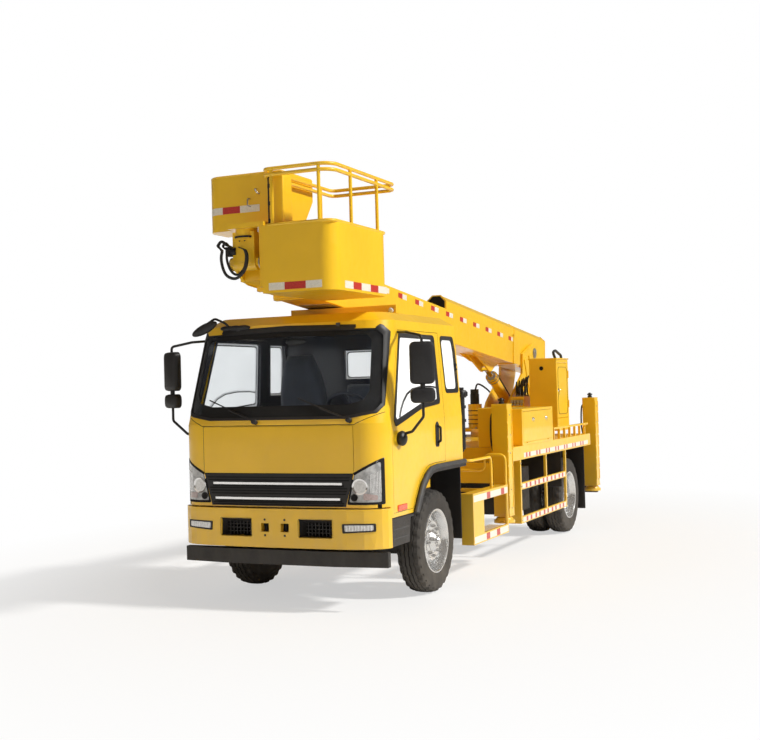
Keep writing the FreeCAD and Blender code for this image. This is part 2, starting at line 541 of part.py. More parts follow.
def cab():
    outer = cab_form("form_outer", "0", "cab_low")
    second = cab_form("form_skin", "skin", "cab_low - 30")
    inner = cab_form("form_inner", "cab_wall", "cab_floor + 30")
    glass_out = cab_form("form_glass_out", "glass_inset", "cab_low - 40")
    glass_in = cab_form("form_glass_in", "glass_inset + glass_thick", "cab_low - 60")
    half = ("-cab_half - 100", "cab_half + 100")
    side = ("cab_half - 240", "cab_half + 100")
    arch = slab("arch_gap", "YZ_Plane", [
        (f"{AXLE} + arch_front", "cab_low - 60"), *arch_curve("0"),
        (f"{AXLE} + cab_rear + 40", "arch_high"), (f"{AXLE} + cab_rear + 40", "cab_low - 60")], *half)
    under = box("nose_under", ("cab_wall - cab_half", "cab_half - cab_wall"),
                (f"{AXLE} + cab_front + skin + 60", f"{AXLE} + cab_rear + 40"), ("cab_low - 60", "cab_floor"))
    nose = box("nose_foot", half, (f"{AXLE} + cab_front - 60", f"{AXLE} + bumper_back + 10"),
               ("cab_low - 60", "bumper_high + 10"))
    shell = cut("shell_raw", outer, [inner, arch, under, nose])
    skin_layer = cut("skin_layer", outer, [second])
    lid_zone = front_zone("lid_zone", [("-lid_half", "lid_low"), ("lid_half", "lid_low"),
                                       ("lid_half", "lid_high"),
                                       ("-lid_half", "lid_high")])
    gap = "panel_gap"
    lid_cut = front_zone("lid_cut", [(f"-lid_half - {gap}", f"lid_low - {gap}"),
                                     (f"lid_half + {gap}", f"lid_low - {gap}"),
                                     (f"lid_half + {gap}", f"lid_high + {gap}"),
                                     (f"-lid_half - {gap}", f"lid_high + {gap}")])
    grille_zone = front_zone("grille_zone", [
        ("-grille_half", "grille_low"), ("grille_half", "grille_low"), ("lid_half - 4", f"lid_low - {gap}"),
        ("4 - lid_half", f"lid_low - {gap}")])
    lamp_zone = front_zone("lamp_zone", lamp_points(), "cab_front + lamp_depth")
    lamp_pair = both("lamp_zones", lamp_zone)
    skin_cut = common("skin_cut", skin_layer, fuse("nose_zones", [lid_cut, grille_zone, lamp_pair]))
    doors = both("door_cuts", slab("door_cut", "YZ_Plane", door_points("0"), *side))
    windows = [slab("windscreen_gap", "XZ_Plane", windscreen_points(), f"{AXLE} + cab_front - 60",
                    f"{AXLE} - 700"),
               slab("rear_gap", "XZ_Plane", rear_window(), f"{AXLE} + cab_rear - 120",
                    f"{AXLE} + cab_rear + 60"),
               slab("quarter_gap", "YZ_Plane", quarter_window(), *half)]
    node(cut("cab_shell_f", shell, [skin_cut, doors, *windows]), "cab_shell")
    lid_layer = cut("lid_layer", outer, [cab_form("form_lid", "skin - lid_clear", "cab_low - 20")])
    tabs = [front_zone("lid_tab_" + word, [(low, "lid_high - 20"), (high, "lid_high - 20"),
                                           (high, f"lid_high + {gap} - seat_gap"),
                                           (low, f"lid_high + {gap} - seat_gap")])
            for word, low, high in (("l", "lid_half - 200", "lid_half - 120"),
                                    ("r", "120 - lid_half", "200 - lid_half"))]
    node(common("lid_f", lid_layer, fuse("lid_zones", [lid_zone, *tabs])), "front_lid")
    node(common("grille_f", skin_layer, grille_zone), "grille")
    node(common("lamps_f", skin_layer, lamp_pair), "headlamps")
    glass_layer = cut("glass_layer", glass_out, [glass_in])
    panes = [common(name, glass_layer, zone) for name, zone in (
        ("pane_front", slab("pane_front_zone", "XZ_Plane", windscreen_points(), f"{AXLE} + cab_front - 60",
                            f"{AXLE} - 700")),
        ("pane_rear", slab("pane_rear_zone", "XZ_Plane", rear_window(), f"{AXLE} + cab_rear - 120",
                           f"{AXLE} + cab_rear + 60")),
        ("pane_quarter", slab("pane_quarter_zone", "YZ_Plane", quarter_window(), *half)))]
    node(fuse("cab_glass_f", panes), "cab_glass")
    door_zone = slab("door_zone", "YZ_Plane", door_points(gap), *side)
    window = slab("door_window_gap", "YZ_Plane", door_window(), *side)
    panel_form = cut("door_panel_form", outer, [cab_form("form_door_inner", "cab_wall", "cab_low - 80")])
    tabs = [box("door_tab_" + word, ("cab_half - 35", "cab_half - 10"),
                (f"{AXLE} + door_front + seat_gap", f"{AXLE} + door_front + 20"),
                (low, f"{low} + 60")) for word, low in (("low", "door_low + 90"), ("high", "cab_belt - 130"))]
    door = fuse("door_f", [cut("door_cut_out", common("door_blank", panel_form, door_zone), [window]), *tabs])
    node(door, "door_left")
    node(mirrored("door_m", door), "door_right")
    pane = common("door_pane", glass_layer, slab("door_pane_zone", "YZ_Plane", door_window(), *side))
    node(pane, "door_glass_left")
    node(mirrored("door_pane_m", pane), "door_glass_right")


def cab_inside():
    floor = "cab_floor + 30 + seat_gap"
    dash = slab("dash", "YZ_Plane", [
        (f"{AXLE} + cab_front + cab_wall + 70", floor), (f"{AXLE} - 830", floor), (f"{AXLE} - 800", "1500"),
        (f"{AXLE} - 760", "1560"), (f"{AXLE} - 800", "1640"),
        (f"{AXLE} + cab_front + cab_wall + 70", "1680")],
        "120 - cab_half", "cab_half - 120")
    column = slab("column", "YZ_Plane", [(f"{AXLE} - 830", "1500"), (f"{AXLE} - 640", "1745"),
                                         (f"{AXLE} - 662", "1762"),
                                         (f"{AXLE} - 860", "1560")], "450", "500")
    ring = doc.addObject("Part::Torus", "steering_ring")
    ring.Radius1 = 215
    ring.Radius2 = 16
    ring.Placement.Rotation = FreeCAD.Rotation(FreeCAD.Vector(1, 0, 0), -45)
    place(ring, "475", f"{AXLE} - 650", "1760")
    spoke = slab("spoke", "YZ_Plane", [(f"{AXLE} - 804", "1900"), (f"{AXLE} - 510", "1606"),
                                       (f"{AXLE} - 496", "1620"),
                                       (f"{AXLE} - 790", "1914")], "455", "495")
    room = cab_form("form_dash", "cab_wall + move_gap", "cab_floor")
    node(fuse("dash_f", [common("dash_trim", dash, room), column, ring, spoke]), "dashboard")
    low = floor
    seats = []
    for word, high, edge in (("driver", "driver_seat_high", ("120", "650")),
                             ("side", "seat_high", ("-615", "-85"))):
        back = slab(f"seat_{word}_side", "YZ_Plane", [
            (f"{AXLE} - 420", low), (f"{AXLE} + 50", low), (f"{AXLE} + 60", "1600"), (f"{AXLE} + 150", high),
            (f"{AXLE} + 50", high), (f"{AXLE} - 60", "1680"), (f"{AXLE} + seat_front + 10", "1640"),
            (f"{AXLE} + seat_front", "1540")], *edge)
        face = slab(f"seat_{word}_front", "XZ_Plane", [
            (edge[0], low), (edge[1], low), (edge[1], f"{high} - 260"), (f"{edge[1]} - 130", f"{high} - 25"),
            (f"{edge[1]} - 170", high), (f"{edge[0]} + 170", high), (f"{edge[0]} + 130", f"{high} - 25"),
            (edge[0], f"{high} - 260")], f"{AXLE} - 500", f"{AXLE} + 200")
        seats.append(common("seat_" + word, back, face))
    seats.append(box("bench", ("-880", "880"), (f"{AXLE} + 300", f"{AXLE} + cab_rear - cab_wall - 10"),
                     (low, "1600")))
    node(fuse("seats_f", seats), "seats")


# Corners of the bumper's plan: out from the middle, back from its front, and how its inside is drawn in.
BUMPER_CURVE = [(420, 8, 0, 1), (700, 26, 0.08, 1), (850, 55, 0.2, 0.98), (930, 86, 0.42, 0.92),
                (990, 130, 0.68, 0.75), (1028, 180, 0.92, 0.4)]

# Corners of a mirror head's plan about its stem, its face turned outwards.
MIRROR_PLAN = [(118, 56), (85, 128), (-118, 34), (-85, -39)]


def cab_outside():
    """Bumper, mudguards with the cab's steps and all the flaps, mirrors."""
    skins = []
    for name, inset in (("bumper_skin", "0"), ("bumper_hollow", "bumper_wall")):
        side = [(f"{x} - ({inset}) * {across}", f"{AXLE} + bumper_front + {back} + ({inset}) * {along}")
                for x, back, across, along in BUMPER_CURVE]
        side.append((f"bumper_half - ({inset})", f"{AXLE} + bumper_back + ({inset}) / 60"))
        far = [(f"-({x})", y) for x, y in reversed(side)]
        plan = [*far, ("0", f"{AXLE} + bumper_front + ({inset})"), *side]
        extra = f"({inset}) / 60"
        skins.append(slab(name, "XY_Plane", plan, f"bumper_low - {extra}", f"bumper_high + {extra}"))
    skin, hollow = skins
    pockets = []
    for word, low, high, bottom, top in (("grating", "240", "560", "655", "815"),
                                         ("tow", "60", "140", "700", "775")):
        for tag, edge in (("l", (low, high)), ("r", (f"-{high}", f"-{low}"))):
            pockets.append(box(f"bumper_{word}_{tag}", edge,
                               (f"{AXLE} + bumper_front - 60", f"{AXLE} + bumper_front + 120"),
                               (bottom, top)))
    stays = [box("bumper_stay_" + tag, edge, (f"{AXLE} + bumper_front + 50", f"{AXLE} + frame_front"),
                 ("rail_low", "rail_low + 32"))
             for tag, edge in RAILS]
    node(fuse("bumper_f", [cut("bumper_cut", skin, [hollow, *pockets]), *stays]), "bumper")
    arch = slab("arch_lip", "YZ_Plane", [
        *arch_curve("0"), (f"{AXLE} + cab_rear - 20", "arch_high"),
        (f"{AXLE} + cab_rear - 20", "arch_high - arch_lip"),
        *reversed(arch_curve("arch_lip"))], "cab_half - arch_depth", "cab_half + 45")
    step = slab("step_panel", "YZ_Plane", [
        (f"{AXLE} + foot_panel_front", "cab_low - 5"), (f"{AXLE} + arch_front + 12", "cab_low - 5"),
        (f"{AXLE} + arch_front + 12", "cab_low - 35"), (f"{AXLE} + foot_panel_rear", "cab_low - 35"),
        (f"{AXLE} + foot_panel_rear - 40", "foot_panel_low"),
        (f"{AXLE} + foot_panel_front", "foot_panel_low")],
        "cab_half - arch_depth", "cab_half")
    flap = box("front_flap", ("cab_half - arch_depth", "cab_half"), (f"{AXLE} + 690", f"{AXLE} + 705"),
               ("420", "arch_high"))
    guard = both("arches_f", fuse("arch_l", [arch, step, flap]))
    mud = [both("mud_" + word, box("mud_l_" + word, ("track_outer - 440", "deck_half - 40 - seat_gap"),
                                   (near, far),
                                   (bottom, "deck_low + 20")))
           for word, near, far, bottom in (("back", f"{REAR} + 575", f"{REAR} + 590", "250"),
                                           ("front", f"{REAR} - 555", f"{REAR} - 540", "640"))]
    node(fuse("mudguards_f", [guard, *mud]), "mudguards")
    x = "mirror_out"
    turned_plan = [(f"{x} + {across}", f"{AXLE} + mirror_y + {along}") for across, along in MIRROR_PLAN]
    head = slab("mirror_head", "XY_Plane", turned_plan, "1975", "2350")
    small = slab("mirror_small", "XY_Plane", turned_plan, "1810", "1945")
    spot_y = f"{AXLE} + mirror_y + 45"
    stem = tube_path("mirror_stem", [
        (x, spot_y, "2300"), (x, spot_y, "1700"), ("cab_half + 30", f"{AXLE} + mirror_foot", "1560"),
        ("cab_half + 30", f"{AXLE} + mirror_foot", "1500")], "14")
    foot = rod("mirror_foot", "x", ("cab_half + seat_gap", "cab_half + 60"),
               (f"{AXLE} + mirror_foot", "1500"), "55")
    mirror = fuse("mirror_l", [head, small, stem, foot])
    node(mirror, "mirror_left")
    node(mirrored("mirror_m", mirror), "mirror_right")


# ---------------------------------------------------------------- deck and outriggers
JACKS = [("front", f"{AXLE} + jack_front"), ("rear", f"{REAR} + jack_rear_out")]


def deck():
    rear = f"{REAR} + deck_rear_out"
    front = f"{AXLE} + deck_front"
    plate = box("deck_plate_b", ("-deck_half", "deck_half"), (front, rear),
                ("deck_high - deck_plate", "deck_high"))
    skirts = [box("skirt_" + tag, edge, (front, rear), ("deck_low", "deck_high")) for tag, edge in (
        ("l", ("deck_half - 40", "deck_half")), ("r", ("-deck_half", "40 - deck_half")))]
    ends = [box("skirt_" + tag, ("-deck_half", "deck_half"), edge, ("deck_low", "deck_high")) for tag,
            edge in (
        ("f", (front, f"{front} + 30")), ("b", (f"{rear} - 30", rear)))]
    sub = [box("sub_rail_" + tag, edge, (f"{AXLE} + cab_rear + 60", f"{REAR} + frame_rear"),
               ("rail_high", "deck_high - deck_plate"))
           for tag, edge in RAILS]
    ribs = [box(f"deck_rib_{count}", ("-deck_half + 20", "deck_half - 20"), (spot, f"{spot} + 60"),
                ("deck_low + 20", "deck_high - 10"))
            for count, spot in enumerate((f"{AXLE} + 2700", f"{AXLE} + 3500", f"{REAR} - 560",
                                          f"{REAR} + 560"))]
    ring = rod("slew_ring", "z", ("rail_high + 60", "ring_top"), ("0", f"{REAR} + slew_out"),
               "ring_radius - 30")
    cross = [box(f"ring_beam_{count}", ("-rail_out", "rail_out"), (spot, f"{spot} + 80"),
                 ("rail_high + 20", "deck_high - 10"))
             for count, spot in enumerate((f"{REAR} + slew_out - 430", f"{REAR} + slew_out + 350"))]
    frame = fuse("deck_frame", [plate, *skirts, *ends, *sub, *ribs, ring, *cross])
    sleeves = []
    bores = [rod("ring_bore", "z", ("rail_high", "ring_top + 10"), ("0", f"{REAR} + slew_out"),
                 "spigot_radius + running_gap")]
    for word, spot in JACKS:
        near, far = f"{spot} + 5", f"{spot} + jack_size - 5"
        sleeves.append(box("sleeve_" + word, ("-jack_outer + jack_size + 30", "jack_outer - jack_size - 30"),
                           (near, far),
                           ("beam_low - beam_wall", "beam_high + beam_wall")))
        bores.append(box("sleeve_bore_" + word, ("-jack_outer", "jack_outer"),
                         (f"{near} + beam_wall", f"{far} - beam_wall"),
                         ("beam_low", "beam_high")))
    fence_start = f"{AXLE} + box_start + box_length + 120"
    posts = [box(f"fence_post_{count}", ("deck_half - 50", "deck_half - 20"), (spot, f"{spot} + 25"),
                 ("deck_high", "deck_high + 150"))
             for count, spot in enumerate([f"{fence_start} + {step} * 250" for step in range(7)])]
    top = box("fence_top", ("deck_half - 50", "deck_half - 20"),
              (fence_start, f"{rear} - 30"),
              ("deck_high + 125", "deck_high + 150"))
    fence = both("fence_f", fuse("fence_l", [*posts, top]))
    node(cut("deck_cut", fuse("deck_all", [frame, *sleeves, fence]), bores), "deck_and_subframe")


def outriggers():
    for word, spot in JACKS:
        mid = f"{spot} + jack_size / 2"
        shell = box(f"jack_{word}_b", ("jack_outer - jack_size", "jack_outer"), (spot, f"{spot} + jack_size"),
                    ("jack_low", "jack_high"))
        beam = box(f"beam_{word}_b", ("beam_inner", "jack_outer - jack_size + 1"),
                   (f"{spot} + 5 + beam_wall + seat_gap", f"{spot} + jack_size - 5 - beam_wall - seat_gap"),
                   ("beam_low + seat_gap", "beam_high - seat_gap"))
        bore = rod(f"jack_{word}_bore", "z", ("jack_low - 5", "jack_high - 30"),
                   ("jack_outer - jack_size / 2", mid), "leg_radius + seat_gap")
        unit = cut(f"outrigger_{word}", fuse(f"outrigger_{word}_f", [shell, beam]), [bore])
        node(unit, f"outrigger_beam_{word}_left")
        node(mirrored(f"outrigger_{word}_m", unit), f"outrigger_beam_{word}_right")
        leg = rod(f"leg_{word}_b", "z", ("foot_low + 10", "jack_high - 60"),
                  ("jack_outer - jack_size / 2", mid), "leg_radius")
        foot = rod(f"foot_{word}_b", "z", ("foot_low", "foot_low + foot_thick"),
                   ("jack_outer - jack_size / 2", mid), "foot_radius")
        leg_unit = fuse(f"jack_leg_{word}", [leg, foot])
        node(leg_unit, f"jack_leg_{word}_left")
        node(mirrored(f"jack_leg_{word}_m", leg_unit), f"jack_leg_{word}_right")


def boxes():
    start, end = f"{AXLE} + box_start", f"{AXLE} + box_start + box_length"
    case = box("toolbox_case", ("box_inner", "deck_half"), (start, end), ("deck_high", "box_high"))
    room = box("toolbox_room", ("box_inner + box_wall", "deck_half + 10"), (f"{start} + 40", f"{end} - 40"),
               ("box_door_low", "box_high - 30"))
    node(both("toolbox_pair", cut("toolbox_l", case, [room])), "toolboxes")
    gap = "panel_gap"
    door = box("toolbox_door_l", ("deck_half - box_wall", "deck_half"),
               (f"{start} + 40 + {gap}", f"{end} - 40 - {gap}"),
               ("box_door_low + seat_gap", f"box_high - 30 - {gap}"))
    node(door, "toolbox_door_left")
    node(mirrored("toolbox_door_m", door), "toolbox_door_right")
    tank = box("hydraulic_tank_b", ("745", "960"), (f"{AXLE} + jack_front + jack_size + 20", f"{start} - 20"),
               ("deck_high", "box_high + 25"))
    node(both("hydraulic_f", tank), "hydraulic_tank_and_valve_box")


def guards():
    """Side guards of striped rails, with the access steps behind the cab."""
    start, end = f"{AXLE} + guard_front", f"{AXLE} + guard_front + guard_length"
    edge = ("deck_half - guard_thick", "deck_half")
    parts = [box("guard_low_b", edge, (start, end), ("guard_low", "guard_low + guard_strip")),
             box("guard_mid_b", edge, (start, end), ("guard_mid", "guard_mid + guard_strip")),
             box("guard_face", ("deck_half - 200", "deck_half"), (start, f"{start} + 24"),
                 ("guard_low", "deck_low"))]
    for count, spot in enumerate((start, f"{start} + 1020", f"{end} - 40")):
        parts.append(box(f"guard_post_{count}", ("deck_half - guard_thick", "deck_half"),
                         (spot, f"{spot} + 40"), ("guard_low", "deck_low")))
    node(both("guards_f", fuse("guard_l", parts)), "side_guards")
    near, far = f"{AXLE} + step_front", f"{AXLE} + jack_front - step_clear"
    inner = "deck_half - step_depth"
    panel = cut("step_cut", box("step_case", (inner, "deck_half"), (near, far), ("step_low", "step_high")),
                [box("step_open", (f"{inner} - 10", "deck_half + 10"),
                     (f"{near} + step_face", f"{far} - guard_thick"),
                     ("step_low + step_tread", "step_high - step_tread")),
                 box("step_back", (f"{inner} - 10", "deck_half - guard_thick"),
                     (f"{near} + guard_thick", f"{far} + 10"),
                     ("step_low + guard_thick", "step_high - guard_thick"))])
    out, cab_side, rail_side = "deck_half - hoop_out", f"{AXLE} + cab_rear + 52", "rail_out + 30"
    hoops = [tube_path("step_hoop_front", [
        (out, f"{far} - 370", "step_high - 6"), (out, f"{far} - 370", "hoop_high"),
        (out, cab_side, "hoop_high"),
        (rail_side, cab_side, "hoop_high"), (rail_side, cab_side, "rail_high - 40")], "hoop_radius"),
             tube_path("step_hoop_rear", [
        ("deck_half - guard_thick / 2 - 1", f"{far} - 20", "step_low + step_tread / 2"),
        ("deck_half - guard_thick / 2 - 1", f"{far} - 20", "hoop_high"),
        ("deck_half - 250", f"{far} - 20", "hoop_high"),
        ("deck_half - 250", f"{far} - 20", "rail_high + 150"),
        ("rail_out + seat_gap", f"{far} - 20", "rail_high + 150")],
        "hoop_radius")]
    bracket = [box(f"step_bracket_{count}", ("rail_out + seat_gap", f"{inner} + 5"),
                   (f"{near} + {spot}", f"{near} + {spot} + 50"),
                   ("step_high - 45", "step_high - 10")) for count, spot in enumerate(("120", "700"))]
    node(both("steps_f", fuse("step_l", [panel, *hoops, *bracket])), "access_steps")


# ---------------------------------------------------------------- turret and boom
SLEW = f"{REAR} + slew_out"
PIVOT = f"{REAR} + slew_out + pivot_out"
EYE_Y = "(-eye_out * cos(boom_pitch) + eye_drop * sin(boom_pitch))"
EYE_Z = "(-eye_out * sin(boom_pitch) - eye_drop * cos(boom_pitch))"
HEAD_Z = "(boom_height / 2 - boom_drop - head_drop)"
REACH = "(boom_front + 2 * nose_step + head_reach)"
HEAD_WORLD_Y = f"({PIVOT} - {REACH} * cos(boom_pitch) + {HEAD_Z} * sin(boom_pitch))"
HEAD_WORLD_Z = f"(pivot_high + {REACH} * sin(boom_pitch) + {HEAD_Z} * cos(boom_pitch))"


def turret():
    top = "ring_top + seat_gap"
    plate_top = "ring_top + turret_plate"
    plate = box("turret_base", ("-turret_half", "turret_half + 390"), (f"{SLEW} - 270", f"{SLEW} + 330"),
                (top, plate_top))
    tail = box("turret_back", ("-cheek_inner - 60", "cheek_inner + 60"), (f"{SLEW} + 300", f"{SLEW} + 950"),
               (top, plate_top))
    disc = rod("turret_disc", "z", (top, plate_top), ("0", SLEW), "ring_radius")
    spigot = rod("turret_spigot", "z", ("rail_high + 80", "ring_top + 10"), ("0", SLEW), "spigot_radius")
    cheek = slab("cheek", "YZ_Plane", [
        (f"{SLEW} - 200", "ring_top + 20"), (f"{SLEW} + 950", "ring_top + 20"),
        (f"{PIVOT} - 60", "pivot_high - 560"),
        (f"{PIVOT} + 190", "pivot_high - 90"), (f"{PIVOT} + 150", "pivot_high + 110"),
        (f"{PIVOT} - 60", "pivot_high + 130"),
        (f"{PIVOT} - 560", "pivot_high - 20"), (f"{PIVOT} - 600", "pivot_high - 300"),
        (f"{SLEW} - 60", "1720"), (f"{SLEW} - 200", "1560")],
        "cheek_inner", "cheek_inner + cheek_thick")
    ends = ("-cheek_inner - cheek_thick - 18", "cheek_inner + cheek_thick + 18")
    pivot = rod("boom_pin", "x", ends, (PIVOT, "pivot_high"), "pivot_radius")
    base_y, base_z = f"{PIVOT} - base_out", "pivot_high - base_drop"
    base_pin = rod("cylinder_pin", "x", ends, (base_y, base_z), "pin_radius")
    reducer = rod("slew_reducer", "z", (plate_top, f"{plate_top} + 330"), ("-330", f"{SLEW} - 60"), "95")
    valves = box("valve_block", ("230", "420"), (f"{SLEW} - 200", f"{SLEW} + 180"),
                 (plate_top, f"{plate_top} + 420"))
    node(fuse("turret_f", [plate, tail, disc, spigot, both("cheeks", cheek), pivot, base_pin, reducer,
                           valves]), "turret")
    front = f"{SLEW} - 270 + cabinet_front - 90"
    case = box("cabinet_case", ("cabinet_in", "cabinet_out"), (front, f"{front} + cabinet_length"),
               (plate_top, "cabinet_high"))
    hollow = box("cabinet_room", ("cabinet_in + 20", "cabinet_out + 10"),
                 (f"{front} + 25", f"{front} + cabinet_length - 25"),
                 (f"{plate_top} + 120", "cabinet_high - 60"))
    node(cut("cabinet_f", case, [hollow]), "control_cabinet")
    node(box("cabinet_door_b", ("cabinet_out - 20", "cabinet_out"),
             (f"{front} + 25 + panel_gap", f"{front} + cabinet_length - 25 - seat_gap"),
             (f"{plate_top} + 120 + panel_gap", "cabinet_high - 60 - panel_gap")), "cabinet_door")


def pitched(thing):
    """Turned down towards the tail about the boom's pivot, where the boom's own frame is drawn."""
    thing.Placement.Rotation = FreeCAD.Rotation(FreeCAD.Vector(1, 0, 0), -value("boom_pitch"))
    return place(thing, "0", PIVOT, "pivot_high")


def square(name, half, low, high, near, far):
    """A box of the boom's own frame: half width, bottom, top, and its run forwards of the pivot."""
    return box(name, (f"-({half})", half), (f"-({far})", f"-({near})"), (low, high))


def boom():
    # The boom's own frame has its origin on the pivot, y to the tail and z square to the boom.
    low = "-boom_drop"
    high = "boom_height - boom_drop"
    half = "boom_width / 2"
    shell = square("boom_box", half, low, high, "boom_rear", "boom_front")
    tail_top = f"{high} + tail_rise"
    tail = slab("tail_slab", "XZ_Plane", [
        ("-tail_half", low), ("tail_half", low), ("tail_half", f"{tail_top} - 68"),
        ("tail_top_half", tail_top),
        ("-tail_top_half", tail_top), ("-tail_half", f"{tail_top} - 68")], "-tail_front", "tail_rear")
    room = square("boom_room", f"{half} - boom_wall", f"{low} + boom_wall", f"{high} - boom_wall",
                  "boom_rear + boom_wall", "boom_front + 10")
    side = "tail_half - boom_wall"
    crest = "tail_top_half - 5"
    attic = slab("tail_attic", "XZ_Plane", [
        (f"-({side})", high), (side, high), (side, f"{tail_top} - 73"), (crest, f"{tail_top} - boom_wall"),
        (f"-({crest})", f"{tail_top} - boom_wall"), (f"-({side})", f"{tail_top} - 73")], "-tail_front - 10",
        "-boom_rear")
    chamber = slab("tail_chamber", "XZ_Plane", [
        (f"-({side})", f"{low} + boom_wall"), (side, f"{low} + boom_wall"), (side, f"{tail_top} - 73"),
        (crest, f"{tail_top} - boom_wall"), (f"-({crest})", f"{tail_top} - boom_wall"),
        (f"-({side})", f"{tail_top} - 73")],
        "-boom_rear", "tail_rear - boom_wall")
    boss = rod("boom_boss", "x", ("-tail_half", "tail_half"), ("0", "0"), "pivot_radius + 50")
    collar = cut("boom_collar", square("boom_collar_b", f"{half} - 2", f"{low} + 2", f"{high} - 2",
                                       "boom_front - collar_length", "boom_front"),
                 [square("boom_collar_h", f"{half} - boom_wall - section_gap + seat_gap",
                         f"{low} + boom_wall + section_gap - seat_gap",
                         f"{high} - boom_wall - section_gap + seat_gap", "boom_front - collar_length - 10",
                         "boom_front + 10")])
    pin_bore = rod("boom_bore", "x", ("-300", "300"), ("0", "0"), "pivot_radius + running_gap")
    ear = slab("boom_ear", "YZ_Plane", [
        (f"{EYE_Y} - 560", low), (f"{EYE_Y} + 300", low), (f"{EYE_Y} + 75", f"{EYE_Z} - 40"),
        (f"{EYE_Y} + 20", f"{EYE_Z} - 70"), (f"{EYE_Y} - 50", f"{EYE_Z} - 60")], "eye_width / 2 + 6",
        "eye_width / 2 + 34")
    solid = fuse("boom_solid", [cut("boom_hollow", fuse("boom_outer", [shell, tail]), [room, attic, chamber]),
                                boss, collar,
                                both("boom_ears", ear)])
    node(pitched(cut("boom_base_f", solid, [pin_bore])), "boom_base")
    gap = "(boom_wall + section_gap)"
    mid_half, mid_low, mid_high = f"{half} - {gap}", f"{low} + {gap}", f"{high} - {gap}"
    mid_far = "boom_front + nose_step"
    inner = "section_wall"
    mid = cut("middle_cut", square("middle_box", mid_half, mid_low, mid_high, f"{mid_far} - middle_length",
                                   mid_far),
              [square("middle_room", f"{mid_half} - {inner}", f"{mid_low} + {inner}", f"{mid_high} - {inner}",
                      f"{mid_far} - middle_length - 10", f"{mid_far} + 10")])
    mid_collar = cut("middle_collar", square("middle_collar_b", f"{mid_half} - 2", f"{mid_low} + 2",
                                             f"{mid_high} - 2", f"{mid_far} - collar_length", mid_far),
                     [square("middle_collar_h", f"{mid_half} - {inner} - section_gap + seat_gap",
                             f"{mid_low} + {inner} + section_gap - seat_gap",
                             f"{mid_high} - {inner} - section_gap + seat_gap",
                             f"{mid_far} - collar_length - 10", f"{mid_far} + 10")])
    node(pitched(fuse("middle_f", [mid, mid_collar])), "boom_middle")
    step = f"{gap} + section_wall + section_gap"
    tip_half, tip_low, tip_high = f"{half} - ({step})", f"{low} + {step}", f"{high} - ({step})"
    tip_far = "boom_front + 2 * nose_step"
    tip = cut("tip_cut", square("tip_box", tip_half, tip_low, tip_high, f"{tip_far} - tip_length", tip_far),
              [square("tip_room", f"{tip_half} - {inner}", f"{tip_low} + {inner}", f"{tip_high} - {inner}",
                      f"{tip_far} - tip_length - 10", f"{tip_far} - 40")])
    head = slab("head_ear", "YZ_Plane", [
        (f"-({tip_far}) + 1", tip_low), (f"-({tip_far}) - head_reach + 40", f"{HEAD_Z} - 60"),
        (f"-({tip_far}) - head_reach - 55", f"{HEAD_Z} - 20"),
        (f"-({tip_far}) - head_reach - 55", f"{HEAD_Z} + 30"),
        (f"-({tip_far}) - head_reach + 10", f"{HEAD_Z} + 62"), (f"-({tip_far}) + 1", tip_high)],
        f"{tip_half} - 40", f"{tip_half} - 14")
    head_pin = rod("head_pin", "x", (f"-({tip_half}) + 8", f"{tip_half} - 8"),
                   (f"-({tip_far}) - head_reach", HEAD_Z), "pin_radius")
    node(pitched(fuse("tip_f", [tip, both("head_ears", head), head_pin])), "boom_tip")


def cylinder():
    """The lift cylinder, drawn along +X from its base pin and then turned up to the boom's eye."""
    base_y, base_z = f"{PIVOT} - base_out", "pivot_high - base_drop"
    run = value("eye_out") - value("base_out")
    rise = value("base_drop") - value("eye_drop")
    length = math.hypot(run, rise)
    tilt = math.degrees(math.atan2(rise, run))
    turn = FreeCAD.Rotation(FreeCAD.Vector(1, 0, 0),
                            -tilt).multiply(FreeCAD.Rotation(FreeCAD.Vector(0, 0, 1), -90))
    eye = rod("barrel_eye", "y", ("-eye_width / 2", "eye_width / 2"), ("0", "0"), "eye_radius + 14")
    tube = rod("barrel_tube", "x", ("50", "barrel_length"), ("0", "0"), "barrel_radius")
    cap = rod("barrel_cap", "x", ("barrel_length - 90", "barrel_length"), ("0", "0"), "barrel_radius + 9")
    bores = [rod("barrel_pin_bore", "y", ("-eye_width", "eye_width"), ("0", "0"), "pin_radius + running_gap"),
             rod("barrel_bore", "x", ("110", "barrel_length + 10"), ("0", "0"), "rod_radius + seat_gap")]
    barrel = cut("barrel_f", fuse("barrel_all", [eye, tube, cap]), bores)
    barrel.Placement.Rotation = turn
    node(place(barrel, "0", base_y, base_z), "lift_cylinder_barrel")
    stick = rod("rod_stick", "x", ("130", f"{length} - 40"), ("0", "0"), "rod_radius")
    end = rod("rod_eye", "y", ("-eye_width / 2", "eye_width / 2"), (f"{length}", "0"), "eye_radius")
    piston = fuse("rod_f", [stick, end])
    piston.Placement.Rotation = turn
    node(place(piston, "0", base_y, base_z), "lift_cylinder_rod")


